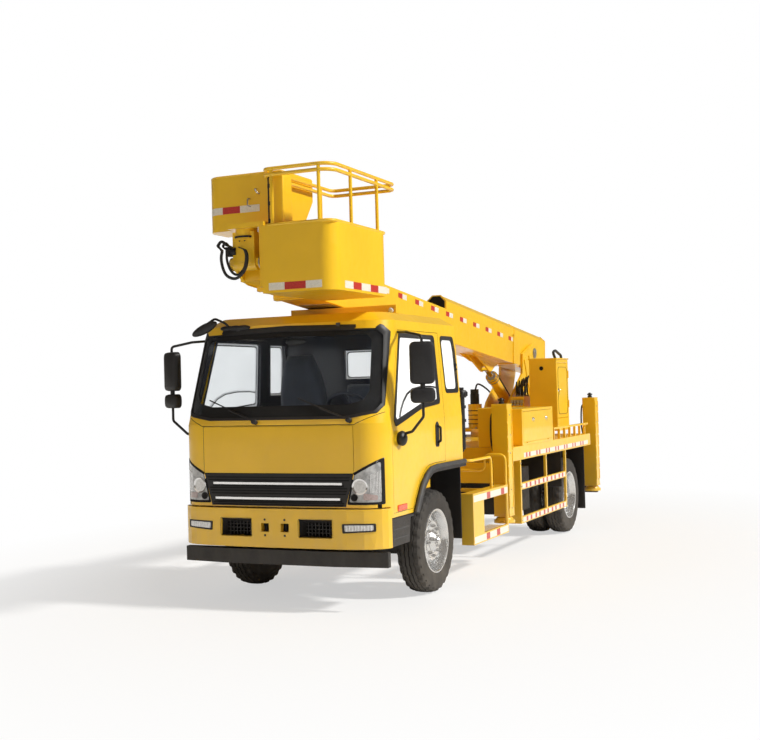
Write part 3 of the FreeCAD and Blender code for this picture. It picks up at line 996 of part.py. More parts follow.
def basket():
    """Levelling yoke at the boom's head, then the tub, its saddle over the boom and the railing."""
    head_y, head_z = HEAD_WORLD_Y, HEAD_WORLD_Z
    half = "(boom_width / 2 - boom_wall - section_gap - section_wall - section_gap - 40 - 3)"
    knuckle = rod("yoke_eye", "x", (f"-{half}", half), (head_y, head_z), "62")
    neck = box("yoke_neck", (f"-{half} + 5", f"{half} - 5"), (f"{head_y} - 60", f"{head_y} + 60"),
               (head_z, "saddle_low - 70"))
    actuator = rod("yoke_swivel", "z", ("saddle_low - 130", "saddle_low - 45"), ("0", head_y), "swing_radius")
    spigot = rod("yoke_spigot", "z", ("saddle_low - 60", "saddle_low - 12"), ("0", head_y),
                 "swing_radius - 50")
    bore = rod("yoke_bore", "x", (f"-{half} - 10", f"{half} + 10"), (head_y, head_z),
               "pin_radius + running_gap")
    node(cut("yoke_f", fuse("yoke_all", [knuckle, neck, actuator, spigot]), [bore]), "basket_yoke")
    front = f"{AXLE} + basket_front"
    rear = f"{front} + basket_length"
    body = doc.addObject("PartDesign::Body", "tub_body")
    pad = body.newObject("PartDesign::Pad", "tub_pad")
    pad.Profile = outline(body, "tub_sketch", "XY_Plane",
                          [("basket_in", front), ("basket_out", front), ("basket_out", rear),
                                                           ("basket_in", rear)], "basket_low")
    bind(pad, "Length", "basket_high - basket_low")
    body.Tip = pad
    upright = lambda bounds: bounds.XLength < 1 and bounds.YLength < 1
    round_off = round_edges(body, "tub_round", "basket_round",
                            lambda bounds: upright(bounds) and bounds.XMin > value("basket_out") - 1)
    tops = [f"Face{number}" for number, face in enumerate(round_off.Shape.Faces, 1)
            if face.BoundBox.ZLength < 1 and face.BoundBox.ZMin > value("basket_high") - 1]
    hollow = body.newObject("PartDesign::Thickness", "tub_hollow")
    hollow.Base = (round_off, tops)
    bind(hollow, "Value", "basket_wall")
    hollow.Reversed = True
    body.Tip = hollow
    near, far = f"{AXLE} + saddle_front", f"{AXLE} + saddle_front + saddle_length"
    profile = lambda inset, lid: [
        (f"{near} + {inset}", f"saddle_low + {inset}"),
        (f"{far} - 220 - {inset} / 2", f"saddle_low + {inset}"),
        (f"{far} - {inset}", f"saddle_low + 290 + {inset}"), (f"{far} - {inset}", f"saddle_high + {lid}"),
        (f"{near} + {inset}", f"saddle_high + {lid}")]
    block = slab("saddle_block", "YZ_Plane", profile("0", "0"), "-saddle_out", "saddle_in")
    room = slab("saddle_room", "YZ_Plane", profile("basket_wall", "10"), "basket_wall - saddle_out",
                "saddle_in - basket_wall")
    corner = lambda bounds: upright(bounds) and bounds.XMax < value("basket_wall - saddle_out") + 1 and \
        bounds.YMax < value(f"{near} + basket_wall") + 1
    round_edges(block, "saddle_block_round", "saddle_round", corner)
    round_edges(room, "saddle_room_round", "saddle_round - basket_wall", corner)
    saddle = cut("saddle_f", block, [room])
    plate = box("basket_plate", ("-130", "saddle_in"), (f"{head_y} - 110", f"{near} + 60"),
                ("saddle_low - 45 + seat_gap", "saddle_low"))
    arm = box("basket_arm", ("saddle_in - 60", "basket_in"), (f"{head_y} - 110", f"{near} + 200"),
              ("saddle_low - 45 + seat_gap", "saddle_low + 1"))
    arm_down = box("basket_arm_down", ("saddle_in - 20", "basket_in + 5"),
                   (f"{head_y} - 110", f"{head_y} + 20"), ("basket_low + 60", "saddle_low"))
    swivel_bore = rod("basket_bore", "z", ("saddle_low - 60", "saddle_low + 10"), ("0", head_y),
                      "swing_radius - 50 + running_gap")
    frame = cut("basket_frame", fuse("basket_frame_all", [plate, arm]), [swivel_bore])
    node(fuse("basket_f", [body, saddle, frame, arm_down]), "basket")
    tubes = []
    for count, drop in enumerate(("0", "railing_drop")):
        tubes.append(tube_path(f"railing_{count}", [
            ("basket_in + railing_tube", f"{front} + railing_tube", f"railing_high - {drop}"),
            ("basket_out - railing_tube", f"{front} + railing_tube", f"railing_high - {drop}"),
            ("basket_out - railing_tube", f"{front} + railing_length", f"railing_high - {drop}"),
            ("basket_in + railing_tube", f"{front} + railing_length", f"railing_high - {drop}")],
            "railing_tube", True, {1: "basket_round"}))
    spots = [("basket_out - basket_round", f"{front} + railing_tube"),
             ("basket_in + 100", f"{front} + railing_tube"),
             ("basket_out - railing_tube", f"{front} + 388"), ("basket_out - railing_tube", f"{front} + 927"),
             ("basket_in + railing_tube", f"{front} + basket_length - 30"),
             ("basket_in + railing_tube", f"{front} + 240")]
    posts = [rod(f"railing_stub_{count}", "z", ("basket_high", "railing_high"), spot, "railing_tube - 1")
             for count, spot in enumerate(spots)]
    node(fuse("railing_f", [*tubes, *posts]), "basket_railing")


def rest():
    """Cradle behind and over the cab that the lowered boom lies on."""
    back = f"{AXLE} + cab_rear + 90"
    under = lambda y: f"(pivot_high + ({PIVOT} - ({y})) * tan(boom_pitch) - boom_drop / cos(boom_pitch))"
    parts = []
    for tag, side in (("l", ""), ("r", "-")):
        low, high = ("560", "640") if side == "" else ("-640", "-560")
        parts.append(box("rest_post_" + tag, (low, high), (back, f"{back} + 80"),
                         ("rail_high + 200", "cab_crown - 40")))
        inner = ("rail_out", "640") if side == "" else ("-640", "-rail_out")
        parts.append(box("rest_foot_" + tag, inner, (back, f"{back} + 80"),
                         ("rail_high + 150", "rail_high + 230")))
        low, high = ("260", "330") if side == "" else ("-330", "-260")
        parts.append(box("rest_arm_" + tag, (low, high), (f"{AXLE} - 250", f"{back} + 80"),
                         ("cab_crown + 18", "cab_crown + 72")))
        parts.append(box("rest_knee_" + tag, (low, high), (back, f"{back} + 80"),
                         ("cab_crown - 120", "cab_crown + 30")))
    parts.append(box("rest_cross", ("-640", "640"), (back, f"{back} + 80"),
                     ("cab_crown - 120", "cab_crown - 40")))
    beam_top = f"{under(AXLE + ' - 140')} - 5"
    parts.append(box("rest_beam", ("-rest_in", "rest_half"), (f"{AXLE} - 250", f"{AXLE} - 140"),
                     ("cab_crown + 18", beam_top)))
    node(fuse("rest_f", parts), "boom_rest")


def main():
    for make in (wheels, axles, springs, chassis, cab, cab_inside, cab_outside, deck, outriggers, boxes,
                 guards,
                 turret, boom, cylinder, basket, rest):
        make()
    doc.recompute()
    faults = [thing.Name for thing in doc.Objects if "Invalid" in thing.State or "Error" in thing.State]
    if faults:
        raise SystemExit("failed objects: " + ", ".join(faults))
    os.makedirs("parts", exist_ok=True)
    for label, thing in NODES:
        if thing.Shape.isNull() or not thing.Shape.isValid():
            raise SystemExit("bad shape: " + label)
        thing.Shape.exportStep(f"parts/{label}.step")
        size = thing.Shape.BoundBox
        ends = " ".join(f"{axis} {low:.0f}..{high:.0f}" for axis, low, high in (
            ("x", size.XMin, size.XMax), ("y", size.YMin, size.YMax), ("z", size.ZMin, size.ZMax)))
        print(f"{label:32s} solids {len(thing.Shape.Solids)} litres {thing.Shape.Volume / 1e6:9.3f} {ends}")


main()
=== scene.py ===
"""Looks of a cherry picker truck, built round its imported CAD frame.

Metres, +Z up, the truck's front faces -Y and its left side is +X.
"""
import math
import bpy
import bmesh
from mathutils import Matrix, Vector
from mathutils.bvhtree import BVHTree


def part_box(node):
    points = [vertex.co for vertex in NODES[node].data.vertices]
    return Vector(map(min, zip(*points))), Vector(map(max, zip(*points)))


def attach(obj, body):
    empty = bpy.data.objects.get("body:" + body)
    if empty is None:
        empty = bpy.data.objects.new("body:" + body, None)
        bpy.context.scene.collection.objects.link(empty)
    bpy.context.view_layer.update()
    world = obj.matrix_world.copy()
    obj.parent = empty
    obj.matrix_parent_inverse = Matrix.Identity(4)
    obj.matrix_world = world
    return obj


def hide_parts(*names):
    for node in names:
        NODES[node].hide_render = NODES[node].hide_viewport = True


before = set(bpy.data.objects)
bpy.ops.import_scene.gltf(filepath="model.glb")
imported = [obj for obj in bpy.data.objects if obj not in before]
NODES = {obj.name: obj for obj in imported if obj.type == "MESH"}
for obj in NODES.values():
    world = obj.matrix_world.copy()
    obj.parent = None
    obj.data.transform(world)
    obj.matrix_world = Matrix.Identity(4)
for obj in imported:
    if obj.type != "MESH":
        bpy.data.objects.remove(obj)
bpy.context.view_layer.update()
SIDES = (("left", 1), ("right", -1))
X, Y, Z = Vector((1, 0, 0)), Vector((0, 1, 0)), Vector((0, 0, 1))


def span(node, axis):
    """Lowest and highest value of a CAD node along one axis."""
    low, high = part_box(node)
    return low[axis], high[axis]


def middle(node, axis):
    """Halfway between a CAD node's two ends along one axis."""
    return sum(span(node, axis)) / 2


# ---------------------------------------------------------------- driving places, from the frame
AXLE = middle("front_tyre_left", 1)
REAR = middle("rear_tyres_left", 1)
HUB = middle("front_tyre_left", 2)        # the hubs' height, which is also the tyres' radius
CAB_HALF = 1.03
CAB_FRONT = AXLE - 1.24
CAB_REAR = span("cab_shell", 1)[1]
DECK_HALF = span("toolboxes", 0)[1]
DECK_TOP = span("toolboxes", 2)[0]
SLEW = REAR + 0.35
TURRET_BASE = 1.365
PIVOT = Vector((0, REAR + 1.5, 2.4))
PITCH = math.radians(5.4)
BOOM_HALF, BOOM_LOW, BOOM_TOP = 0.2, -0.258, 0.127
HEAD = Vector((0, middle("basket_yoke", 1), 3.055))
CYLINDER_BASE = PIVOT + Vector((0, -0.33, -0.95))
CYLINDER_EYE = PIVOT + Vector((0, -1.67, -0.2))

# ---------------------------------------------------------------- named sizes
CORE = 0.0001                             # a turned profile starts and ends this near its axis
JACK = 0.175                              # width of an outrigger's post
JACK_OUT = 1.15                           # from the truck's middle to a post's outer face
FRONT_TRACK, REAR_TRACK = 0.922, 0.942    # from the middle of the truck to that of an outer tyre
TWIN_GAP = 0.29                           # between the middles of two rear tyres
GUIDE = (-0.002, 0.006, 0.004, -0.01)     # how window rubber lies on the panel and dips to the pane
YELLOW = (0.9, 0.545, 0.014)
LINING = (0.022, 0.027, 0.045)
ROAD_DUST = (0.36, 0.31, 0.25)


# ---------------------------------------------------------------- finishes
def graph(holder):
    """The node tree of a material or world, with short ways to fill a node's inputs and to add a node."""
    holder.use_nodes = True
    tree = holder.node_tree

    def fill(node, values):
        for slot, value in values.items():
            if isinstance(value, bpy.types.NodeSocket):
                tree.links.new(value, node.inputs[slot])
            else:
                node.inputs[slot].default_value = value
        return node

    def add(kind, values=None, **settings):
        node = tree.nodes.new("ShaderNode" + kind)
        for key, setting in settings.items():
            setattr(node, key, setting)
        return fill(node, values or {})

    def remap(value, low, high, to_low, to_high):
        return add("MapRange", {"From Min": low, "From Max": high, "To Min": to_low, "To Max": to_high,
            "Value": value}).outputs["Result"]

    return tree, fill, add, remap


def finish(name, colour, rough, metal=0.0, coat=0.0, vary=0.08, scale=5.0, bump=0.0, grain=300.0,
           dust=0.0, worn=None, lined=None):
    """A painted, cast or moulded finish: cloudy colour, uneven gloss, fine grain and road dust low down.

    lined is a point inside the part; faces turned towards it take the dark lining colour.
    """
    mat = bpy.data.materials.new(name)
    tree, fill, add, remap = graph(mat)
    shader = fill(tree.nodes["Principled BSDF"], {"Metallic": metal, "Coat Weight": coat, "Coat Roughness": 0.06})
    coords = add("TexCoord").outputs
    place = coords["Object"]

    def noise(size, detail=4.0, source=place):
        return add("TexNoise", {"Scale": size, "Detail": detail, "Vector": source}).outputs["Fac"]

    def mix(factor, first, second):
        first, second = ((*part, 1) if isinstance(part, tuple) else part for part in (first, second))
        return add("Mix", {"Factor": factor, 6: first, 7: second}, data_type="RGBA").outputs[2]

    dark = tuple(part * (1 - vary) for part in colour)
    light = tuple(min(1, part * (1 + vary)) for part in colour)
    tone = mix(remap(noise(scale), 0.35, 0.65, 0, 1), dark, light)
    gloss = remap(noise(scale * 7, 6), 0.3, 0.7, max(0.02, rough - 0.06), min(1, rough + 0.08))
    if worn:
        tone = mix(remap(noise(scale * 9, 8), 0.62, 0.7, 0, 1), tone, worn)
    if dust:
        height = add("SeparateXYZ", {"Vector": place}).outputs["Z"]
        streaks = add("Mapping", {"Scale": (1, 1, 0.35), "Vector": place}).outputs["Vector"]
        patchy = remap(noise(9, 6, streaks), 0.3, 0.7, 0.35, 1)
        share = add("Math", {0: remap(height, 0.15, 1.25, dust, 0), 1: patchy}, operation="MULTIPLY")
        tone = mix(share.outputs["Value"], tone, ROAD_DUST)
    if lined:
        reach = add("VectorMath", {0: place, 1: lined}, operation="SUBTRACT").outputs["Vector"]
        facing = add("VectorMath", {0: reach, 1: coords["Normal"]}, operation="DOT_PRODUCT").outputs["Value"]
        tone = mix(remap(facing, -0.02, 0.0, 1, 0), tone, LINING)
    fill(shader, {"Base Color": tone, "Roughness": gloss})
    if bump:
        relief = add("Bump", {"Strength": bump, "Distance": 0.001, "Height": noise(grain, 3)})
        fill(shader, {"Normal": relief.outputs["Normal"]})
    return mat


def glass(name, colour, clear_before=-50.0):
    """Glass with a sharp gloss: clear in front of clear_before along Y; behind it pale, half see-through and with a
    painted glow.
    """
    mat = finish(name, colour, 0.02, vary=0.03, scale=2)
    tree, fill, add, remap = graph(mat)
    shader = fill(tree.nodes["Principled BSDF"], {"IOR": 1.12, "Emission Color": (0.95, 0.97, 1.0, 1)})
    depth = add("SeparateXYZ", {"Vector": add("TexCoord").outputs["Object"]}).outputs["Y"]
    # Behind clear_before the pane glows: painted light standing in for bright sky seen in the glass, not a lamp.
    for slot, before, after in (("Transmission Weight", 1.0, 0.0), ("Alpha", 1.0, 0.55),
            ("Emission Strength", 0.0, 0.5)):
        fill(shader, {slot: remap(depth, clear_before, clear_before + 0.02, before, after)})
    return mat


def fabric(name, colour):
    """Woven seat cloth: crossed fine waves for the weave under a soft sheen."""
    mat = finish(name, colour, 0.85, vary=0.15, scale=14)
    tree, fill, add, _ = graph(mat)
    place = add("TexCoord").outputs["Object"]
    waves = {slot: add("TexWave", {"Scale": 160, "Vector": place}, bands_direction=way).outputs["Fac"]
        for slot, way in enumerate("XZ")}
    weave = add("Math", waves, operation="MULTIPLY").outputs["Value"]
    relief = add("Bump", {"Strength": 0.5, "Distance": 0.001, "Height": weave})
    fill(tree.nodes["Principled BSDF"], {"Sheen Weight": 0.3, "Normal": relief.outputs["Normal"]})
    return mat


PAINTED = {"coat": 0.55, "vary": 0.035, "scale": 2.2, "bump": 0.03, "grain": 220, "dust": 0.3}
LAMP_PLASTIC = {"vary": 0.12, "scale": 60, "bump": 0.3, "grain": 260}
TAPE = {"coat": 0.4, "scale": 90, "bump": 0.25, "grain": 500, "dust": 0.1}
PAINT = finish("paint_yellow", YELLOW, 0.34, **PAINTED)
DARK = finish("paint_black", (0.01, 0.01, 0.011), 0.5, vary=0.25, scale=7, bump=0.06, grain=160, dust=0.1)
SILVER = finish("wheel_silver", (0.72, 0.73, 0.74), 0.22, metal=0.85, coat=0.3, vary=0.05, scale=6, bump=0.04,
    dust=0.14)
RUBBER = finish("tyre_rubber", (0.017, 0.016, 0.016), 0.78, vary=0.22, scale=16, bump=0.3, grain=420, dust=0.2)
HOSE = finish("hose_rubber", (0.016, 0.016, 0.017), 0.5, vary=0.2, scale=30, bump=0.15, grain=700)
BLACK = finish("plastic_black", (0.01, 0.01, 0.012), 0.46, vary=0.15, scale=12, bump=0.12, grain=900, dust=0.12)
GREY = finish("plastic_grey", (0.048, 0.05, 0.053), 0.6, vary=0.14, scale=10, bump=0.3, grain=800, dust=0.12)
TRIM = finish("trim_interior", LINING, 0.72, vary=0.15, scale=10, bump=0.35, grain=650)
CHROME = finish("chrome", (0.82, 0.83, 0.85), 0.1, metal=1.0, vary=0.03, scale=20)
STEEL = finish("steel_bare", (0.42, 0.41, 0.4), 0.4, metal=0.9, vary=0.15, scale=20, bump=0.2, grain=300,
    worn=(0.2, 0.13, 0.08))
LAMP = finish("lamp_cover", (0.38, 0.39, 0.4), 0.12, coat=1.0, vary=0.35, scale=16, bump=0.25, grain=150)
LENS = finish("lamp_lens", (0.7, 0.71, 0.72), 0.1, coat=1.0, vary=0.1, scale=45, bump=0.25, grain=150)
REFLECTOR = finish("lamp_reflector", (0.8, 0.81, 0.83), 0.14, metal=1.0, vary=0.05, scale=30)
PINK = finish("lamp_pink", (0.4, 0.31, 0.3), 0.18, coat=1.0, **LAMP_PLASTIC)
MARKER = finish("lamp_marker", (0.8, 0.085, 0.012), 0.25, coat=0.8, vary=0.25, scale=50, bump=0.3, grain=260)
AMBER = finish("lamp_amber", (0.75, 0.14, 0.015), 0.18, coat=1.0, **LAMP_PLASTIC)
RED = finish("lamp_red", (0.55, 0.015, 0.012), 0.18, coat=1.0, **LAMP_PLASTIC)
TAPE_RED = finish("tape_red", (0.52, 0.028, 0.02), 0.35, vary=0.12, **TAPE)
TAPE_WHITE = finish("tape_white", (0.8, 0.76, 0.66), 0.35, vary=0.06, **TAPE)
MIRROR = finish("mirror_glass", (0.72, 0.75, 0.78), 0.03, metal=1.0, vary=0.02, scale=8)
# The cab's side and rear panes and the door panes glow with painted light, as of bright sky seen in them.
CAB_GLASS = glass("glass_cab", (0.93, 0.95, 0.95), AXLE - 0.45)
PALE_GLOWING_GLASS = glass("glass_pale_painted_glow", (0.93, 0.95, 0.95))
LINED = finish("paint_yellow_lined", YELLOW, 0.34, lined=(0, AXLE - 0.25, 1.85), **PAINTED)
CLOTH = fabric("seat_cloth", (0.045, 0.055, 0.08))
HOLE = finish("shadow_black", (0.006, 0.006, 0.007), 0.9, vary=0.2, scale=20)


def both(*stems):
    """The left-hand and right-hand node of each stem."""
    return [f"{stem}_{side}" for stem in stems for side, _ in SIDES]


def paint_nodes():
    """Give each CAD node that is shown its finish, and a small round to the sharp edges of sheet metal."""
    finishes = {
        DARK: ["chassis_frame", "front_axle_beam", "rear_axle", "leaf_springs", "engine_and_gearbox",
               "fuel_air_and_battery_boxes", *both("steering_knuckle")],
        SILVER: both("front_wheel", "rear_wheels"), RUBBER: both("front_tyre", "rear_tyres"),
        CAB_GLASS: ["cab_glass"], PALE_GLOWING_GLASS: both("door_glass"), LINED: ["cab_shell", *both("door")],
        BLACK: ["grille", "mudguards", *both("mirror")], TRIM: ["dashboard"], LAMP: ["headlamps"],
        CHROME: ["lift_cylinder_rod"], CLOTH: ["seats"]}
    look = {node: mat for mat, names in finishes.items() for node in names}
    for name, obj in NODES.items():
        mat = look.get(name, PAINT)
        if obj.material_slots:
            for held in obj.material_slots:
                held.link = "OBJECT"
                held.material = mat
        else:
            obj.data.materials.append(mat)
    edges = {
        0.003: both("toolbox_door"),
        0.004: ["deck_and_subframe", "cabinet_door", "turret", "basket", "chassis_frame"],
        0.005: ["boom_base", "boom_rest", "side_guards", *both("outrigger_beam_front", "outrigger_beam_rear")],
        0.006: ["toolboxes", "access_steps"],
        0.008: ["control_cabinet", "hydraulic_tank_and_valve_box", "mudguards"],
        0.01: ["bumper"], 0.012: ["fuel_air_and_battery_boxes"]}
    for width, names in edges.items():
        for name in names:
            soften(NODES[name], width)


def soften(obj, width):
    """Small rounds on a CAD node's sharp edges, with its flat faces still shaded flat."""
    obj.modifiers.new("weld", "WELD").merge_threshold = 0.0001
    bevel(obj, width, 35).harden_normals = False
    obj.modifiers.new("normals", "WEIGHTED_NORMAL").keep_sharp = True


def bevel(obj, width, angle):
    """Round the edges sharper than an angle."""
    modifier = obj.modifiers.new("bevel", "BEVEL")
    modifier.width = width
    modifier.segments = 2
    modifier.limit_method = "ANGLE"
    modifier.angle_limit = math.radians(angle)
    return modifier


# ---------------------------------------------------------------- shapes
BLOCK = [(0, 1, 3, 2), (4, 6, 7, 5), (0, 4, 5, 1), (2, 3, 7, 6), (0, 2, 6, 4), (1, 5, 7, 3)]


def weave(rows, count, base=0, over=True, around=True):
    """Quads between rows of count points; over joins the last row to the first, around joins a row's two ends."""
    return [(base + row * count + i, base + row * count + (i + 1) % count,
        base + (row + 1) % rows * count + (i + 1) % count, base + (row + 1) % rows * count + i)
        for row in range(rows if over else rows - 1) for i in range(count if around else count - 1)]


def circle(centre, first, second, sides, start=0.0):
    """Points round a centre, from the vector first towards the vector second."""
    turns = [start + math.tau * k / sides for k in range(sides)]
    return [centre + first * math.cos(turn) + second * math.sin(turn) for turn in turns]


def placed(spot, degrees, axis="Z"):
    return Matrix.Translation(spot) @ Matrix.Rotation(math.radians(degrees), 4, axis)


def wide(s, near, far):
    """A range along X on side s, lowest first."""
    return sorted((s * near, s * far))


class Shape:
    """Closed solids gathered into one piece of one finish."""

    def __init__(self):
        self.verts = []
        self.faces = []

    def put(self, verts, faces, move=None):
        base = len(self.verts)
        self.verts += [move @ Vector(v) if move else Vector(v) for v in verts]
        self.faces += [[base + index for index in face] for face in faces]
        return self

    def box(self, x, y, z, move=None):
        return self.put([(x[i], y[j], z[k]) for i in (0, 1) for j in (0, 1) for k in (0, 1)], BLOCK, move)

    def prism(self, outline, low, high, axis="x"):
        """An outline in the two other axes, in alphabetical order, run between two values of axis."""
        order = {"x": lambda a, p: (a, p[0], p[1]), "y": lambda a, p: (p[0], a, p[1])}[axis]
        return self.loft([[order(end, point) for point in outline] for end in (low, high)])

    def loft(self, rings):
        """Matching rings of points joined in turn, with the first and the last closed."""
        count = len(rings[0])
        ends = [list(range(count)), list(range(count * (len(rings) - 1), count * len(rings)))]
        return self.put([spot for ring in rings for spot in ring], ends + weave(len(rings), count, over=False))

    def ribbon(self, rings, around=True, ends=()):
        """Matching rows of points joined in turn, the last back to the first."""
        return self.put([spot for ring in rings for spot in ring],
            weave(len(rings), len(rings[0]), around=around) + list(ends))

    def lathe(self, profile, centre, axis=X, steps=48):
        """A closed profile of (along, radius) corners turned about an axis through centre."""
        turn = axis.normalized().to_track_quat("Z", "Y").to_matrix()
        return self.ribbon([[Vector(centre) + turn @ Vector((radius * math.cos(math.tau * step / steps),
            radius * math.sin(math.tau * step / steps), along)) for along, radius in profile]
            for step in range(steps)])

    def knob(self, profile, centre, axis=X, steps=48):
        """A turned solid: the profile's ends are closed onto the axis."""
        return self.lathe([(profile[0][0], CORE), *profile, (profile[-1][0], CORE)], centre, axis, steps)

    def tube(self, points, radius, sides=12, flat=1.0):
        """A round bar along the points, with its frame carried along; flat squeezes it one way."""
        spots = [Vector(point) for point in points]
        rings = []
        across = None
        for index, spot in enumerate(spots):
            heading = (spots[min(index + 1, len(spots) - 1)] - spots[max(index - 1, 0)]).normalized()
            if across is None:
                across = heading.orthogonal().normalized()
            across = (across - heading * across.dot(heading)).normalized()
            rings.append(circle(spot, radius * across, radius * flat * heading.cross(across), sides))
        return self.loft(rings)

    def rod(self, start, end, radius, sides=20):
        """A round bar with its end edges turned in."""
        start, end = Vector(start), Vector(end)
        length = (end - start).length
        lip = min(radius, length) * 0.12
        profile = [(0, radius - lip), (lip, radius), (length - lip, radius), (length, radius - lip)]
        return self.knob(profile, start, end - start, sides)

    def nut(self, spot, axis, radius, height):
        """A hexagon nut with a stud through it."""
        self.knob([(0, radius), (height * 0.85, radius), (height, radius * 0.85)], spot, axis, 6)
        return self.rod(spot, Vector(spot) + axis * height * 1.6, radius * 0.5, 10)

    def egg(self, centre, size, move=None, rings=12, sides=24):
        """An ellipsoid of three half sizes."""
        centre = Vector(centre)
        across, along, up = X * size[0], Y * size[1], Z * size[2]
        verts = [centre + up]
        for ring in range(1, rings):
            tilt = math.pi * ring / rings
            verts += circle(centre + up * math.cos(tilt), across * math.sin(tilt), along * math.sin(tilt), sides)
        verts.append(centre - up)
        faces = [(0, 1 + k, 1 + (k + 1) % sides) for k in range(sides)] + weave(rings - 1, sides, 1, over=False)
        base = 1 + (rings - 2) * sides
        faces += [(base + k, base + (k + 1) % sides, len(verts) - 1) for k in range(sides)]
        return self.put(verts, faces, move)

    def made(self, name, body, mat, round_off=0.0, smooth=35):
        """The finished piece, riding on a body of the truck."""
        mesh = bpy.data.meshes.new(name)
        mesh.from_pydata([tuple(v) for v in self.verts], [], self.faces)
        shape = bmesh.new()
        shape.from_mesh(mesh)
        bmesh.ops.recalc_face_normals(shape, faces=shape.faces)
        shape.to_mesh(mesh)
        shape.free()
        obj = bpy.data.objects.new(name, mesh)
        bpy.context.scene.collection.objects.link(obj)
        mesh.materials.append(mat)
        mesh.shade_smooth()
        mesh.set_sharp_from_angle(angle=math.radians(smooth))
        if round_off:
            bevel(obj, round_off, 40)
        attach(obj, body)
        return obj


def fillet(back, here, ahead, reach, steps):
    """Points round one corner, from reach before it to reach after it."""
    start, end = here + back.normalized() * reach, here + ahead.normalized() * reach
    return [start.lerp(here, t).lerp(here.lerp(end, t), t) for t in (step / steps for step in range(steps + 1))]


def bend(points, radius, steps=6):
    """The points of a path with each corner rounded to a radius."""
    spots = [Vector(point) for point in points]
    path = [spots[0]]
    for before, here, after in zip(spots, spots[1:], spots[2:]):
        back, ahead = before - here, after - here
        reach = min(radius / math.tan(back.angle(ahead) / 2), back.length * 0.48, ahead.length * 0.48)
        path += fillet(back, here, ahead, reach, steps)
    return path + [spots[-1]]


def droop(points, steps=8):
    """A smooth curve through given points, as a hose lies between its clips."""
    spots = [Vector(point) for point in points]
    spots = [2 * spots[0] - spots[1], *spots, 2 * spots[-1] - spots[-2]]
    path = []
    for a, b, c, d in zip(spots, spots[1:], spots[2:], spots[3:]):
        for t in (step / steps for step in range(steps)):
            bow = (2 * a - 5 * b + 4 * c - d) * t * t + (3 * b - a - 3 * c + d) * t ** 3
            path.append(0.5 * (2 * b + (c - a) * t + bow))
    return path + [spots[-2]]


def rounded(corners, radius, steps=5):
    """A closed outline of two-part points with every corner rounded."""
    spots = [Vector((*corner, 0)) for corner in corners]
    path = []
    for index, here in enumerate(spots):
        back, ahead = spots[index - 1] - here, spots[(index + 1) % len(spots)] - here
        reach = min(radius / math.tan(back.angle(ahead) / 2), back.length * 0.45, ahead.length * 0.45)
        path += [(spot.x, spot.y) for spot in fillet(back, here, ahead, reach, steps)]
    return path


def split(path, count):
    """Each stretch of a path cut into count parts, without the path's last point."""
    return [(here[0] + (after[0] - here[0]) * k / count, here[1] + (after[1] - here[1]) * k / count)
        for here, after in zip(path, path[1:]) for k in range(count)]


def ring(corners, radius, steps, count):
    """A rounded closed outline with each side split, so that it can follow a curved surface."""
    outline = rounded(corners, radius, steps)
    return split(outline + outline[:1], count)


class Skin:
    """The outside of some CAD nodes, to lay flat trim on."""

    def __init__(self, *names):
        verts, faces = [], []
        for name in names:
            mesh = NODES[name].data
            base = len(verts)
            verts += [vert.co.copy() for vert in mesh.vertices]
            faces += [[base + index for index in face.vertices] for face in mesh.polygons]
        self.tree = BVHTree.FromPolygons(verts, faces)

    def hit(self, start, way, lift=0.0):
        spot, normal, _, _ = self.tree.ray_cast(Vector(start), Vector(way))
        if spot is None:
            spot, normal, _, _ = self.tree.find_nearest(Vector(start) + Vector(way) * 2)
        if normal.dot(Vector(way)) > 0:
            normal = -normal
        return spot + normal * lift

    def front(self, point, lift=0.0):
        """The place that lies behind (x, z) when seen from the front."""
        return self.hit((point[0], CAB_FRONT - 1, point[1]), Y, lift)

    def back(self, point, lift=0.0):
        return self.hit((point[0], CAB_REAR + 1, point[1]), -Y, lift)

    def side(self, s):
        """The same from side s, for (y from the front axle, z)."""
        return lambda point, lift=0.0: self.hit((s * 2, AXLE + point[0], point[1]), -X * s, lift)


def band(outer, inner, lay, lifts):
    """A closed ring of trim between two matching outlines; lay(point, lift) puts a point on the surface."""
    rows = zip((outer, outer, inner, inner), lifts)
    return Shape().ribbon([[lay(point, lift) for point in row] for row, lift in rows])


def patch(outline, lay, low, high, rows=3):
    """A solid patch on a surface: the outline shrinks to its middle in rows."""
    count = len(outline)
    centre = [sum(point[axis] for point in outline) / count for axis in (0, 1)]
    verts = []
    for lift in (low, high):
        for row in range(rows):
            t = row / rows
            verts += [lay((p[0] + (centre[0] - p[0]) * t, p[1] + (centre[1] - p[1]) * t), lift) for p in outline]
        verts.append(lay(centre, lift))
    half = count * rows + 1
    faces = []
    for layer in (0, half):
        last = layer + (rows - 1) * count
        faces += weave(rows, count, layer, over=False)
        faces += [(last + i, last + (i + 1) % count, layer + half - 1) for i in range(count)]
    faces += [(i, (i + 1) % count, half + (i + 1) % count, half + i) for i in range(count)]
    return Shape().put(verts, faces)


def boom_spot(across, forward, up):
    """A point given in the boom's own frame, as a place on the truck at rest."""
    return BOOM_TURN @ Vector((across, -forward, up))


BOOM_TURN = Matrix.Translation(PIVOT) @ Matrix.Rotation(-PITCH, 4, "X")


def tape(name, body, cells, corner, along, up, out, length, height):
    """Reflective tape from a corner, along and up a face; each cell is w for white, r for red or n for none, and its
    share of the length."""
    cells = [(cell[0], float(cell[1:])) for cell in cells.split()]
    total = sum(width for _, width in cells)
    for tone, word, mat in (("r", "red", TAPE_RED), ("w", "white", TAPE_WHITE)):
        shape = Shape()
        start = 0.0
        for kind, width in cells:
            low, high = start / total * length, (start + width) / total * length
            start += width
            if kind == tone:
                shape.put([Vector(corner) + along * a + up * b + out * c for a in (low, high) for b in (0, height)
                    for c in (-0.0004, 0.0012)], BLOCK)
        if shape.verts:
            shape.made(f"{name}_{word}", body, mat)


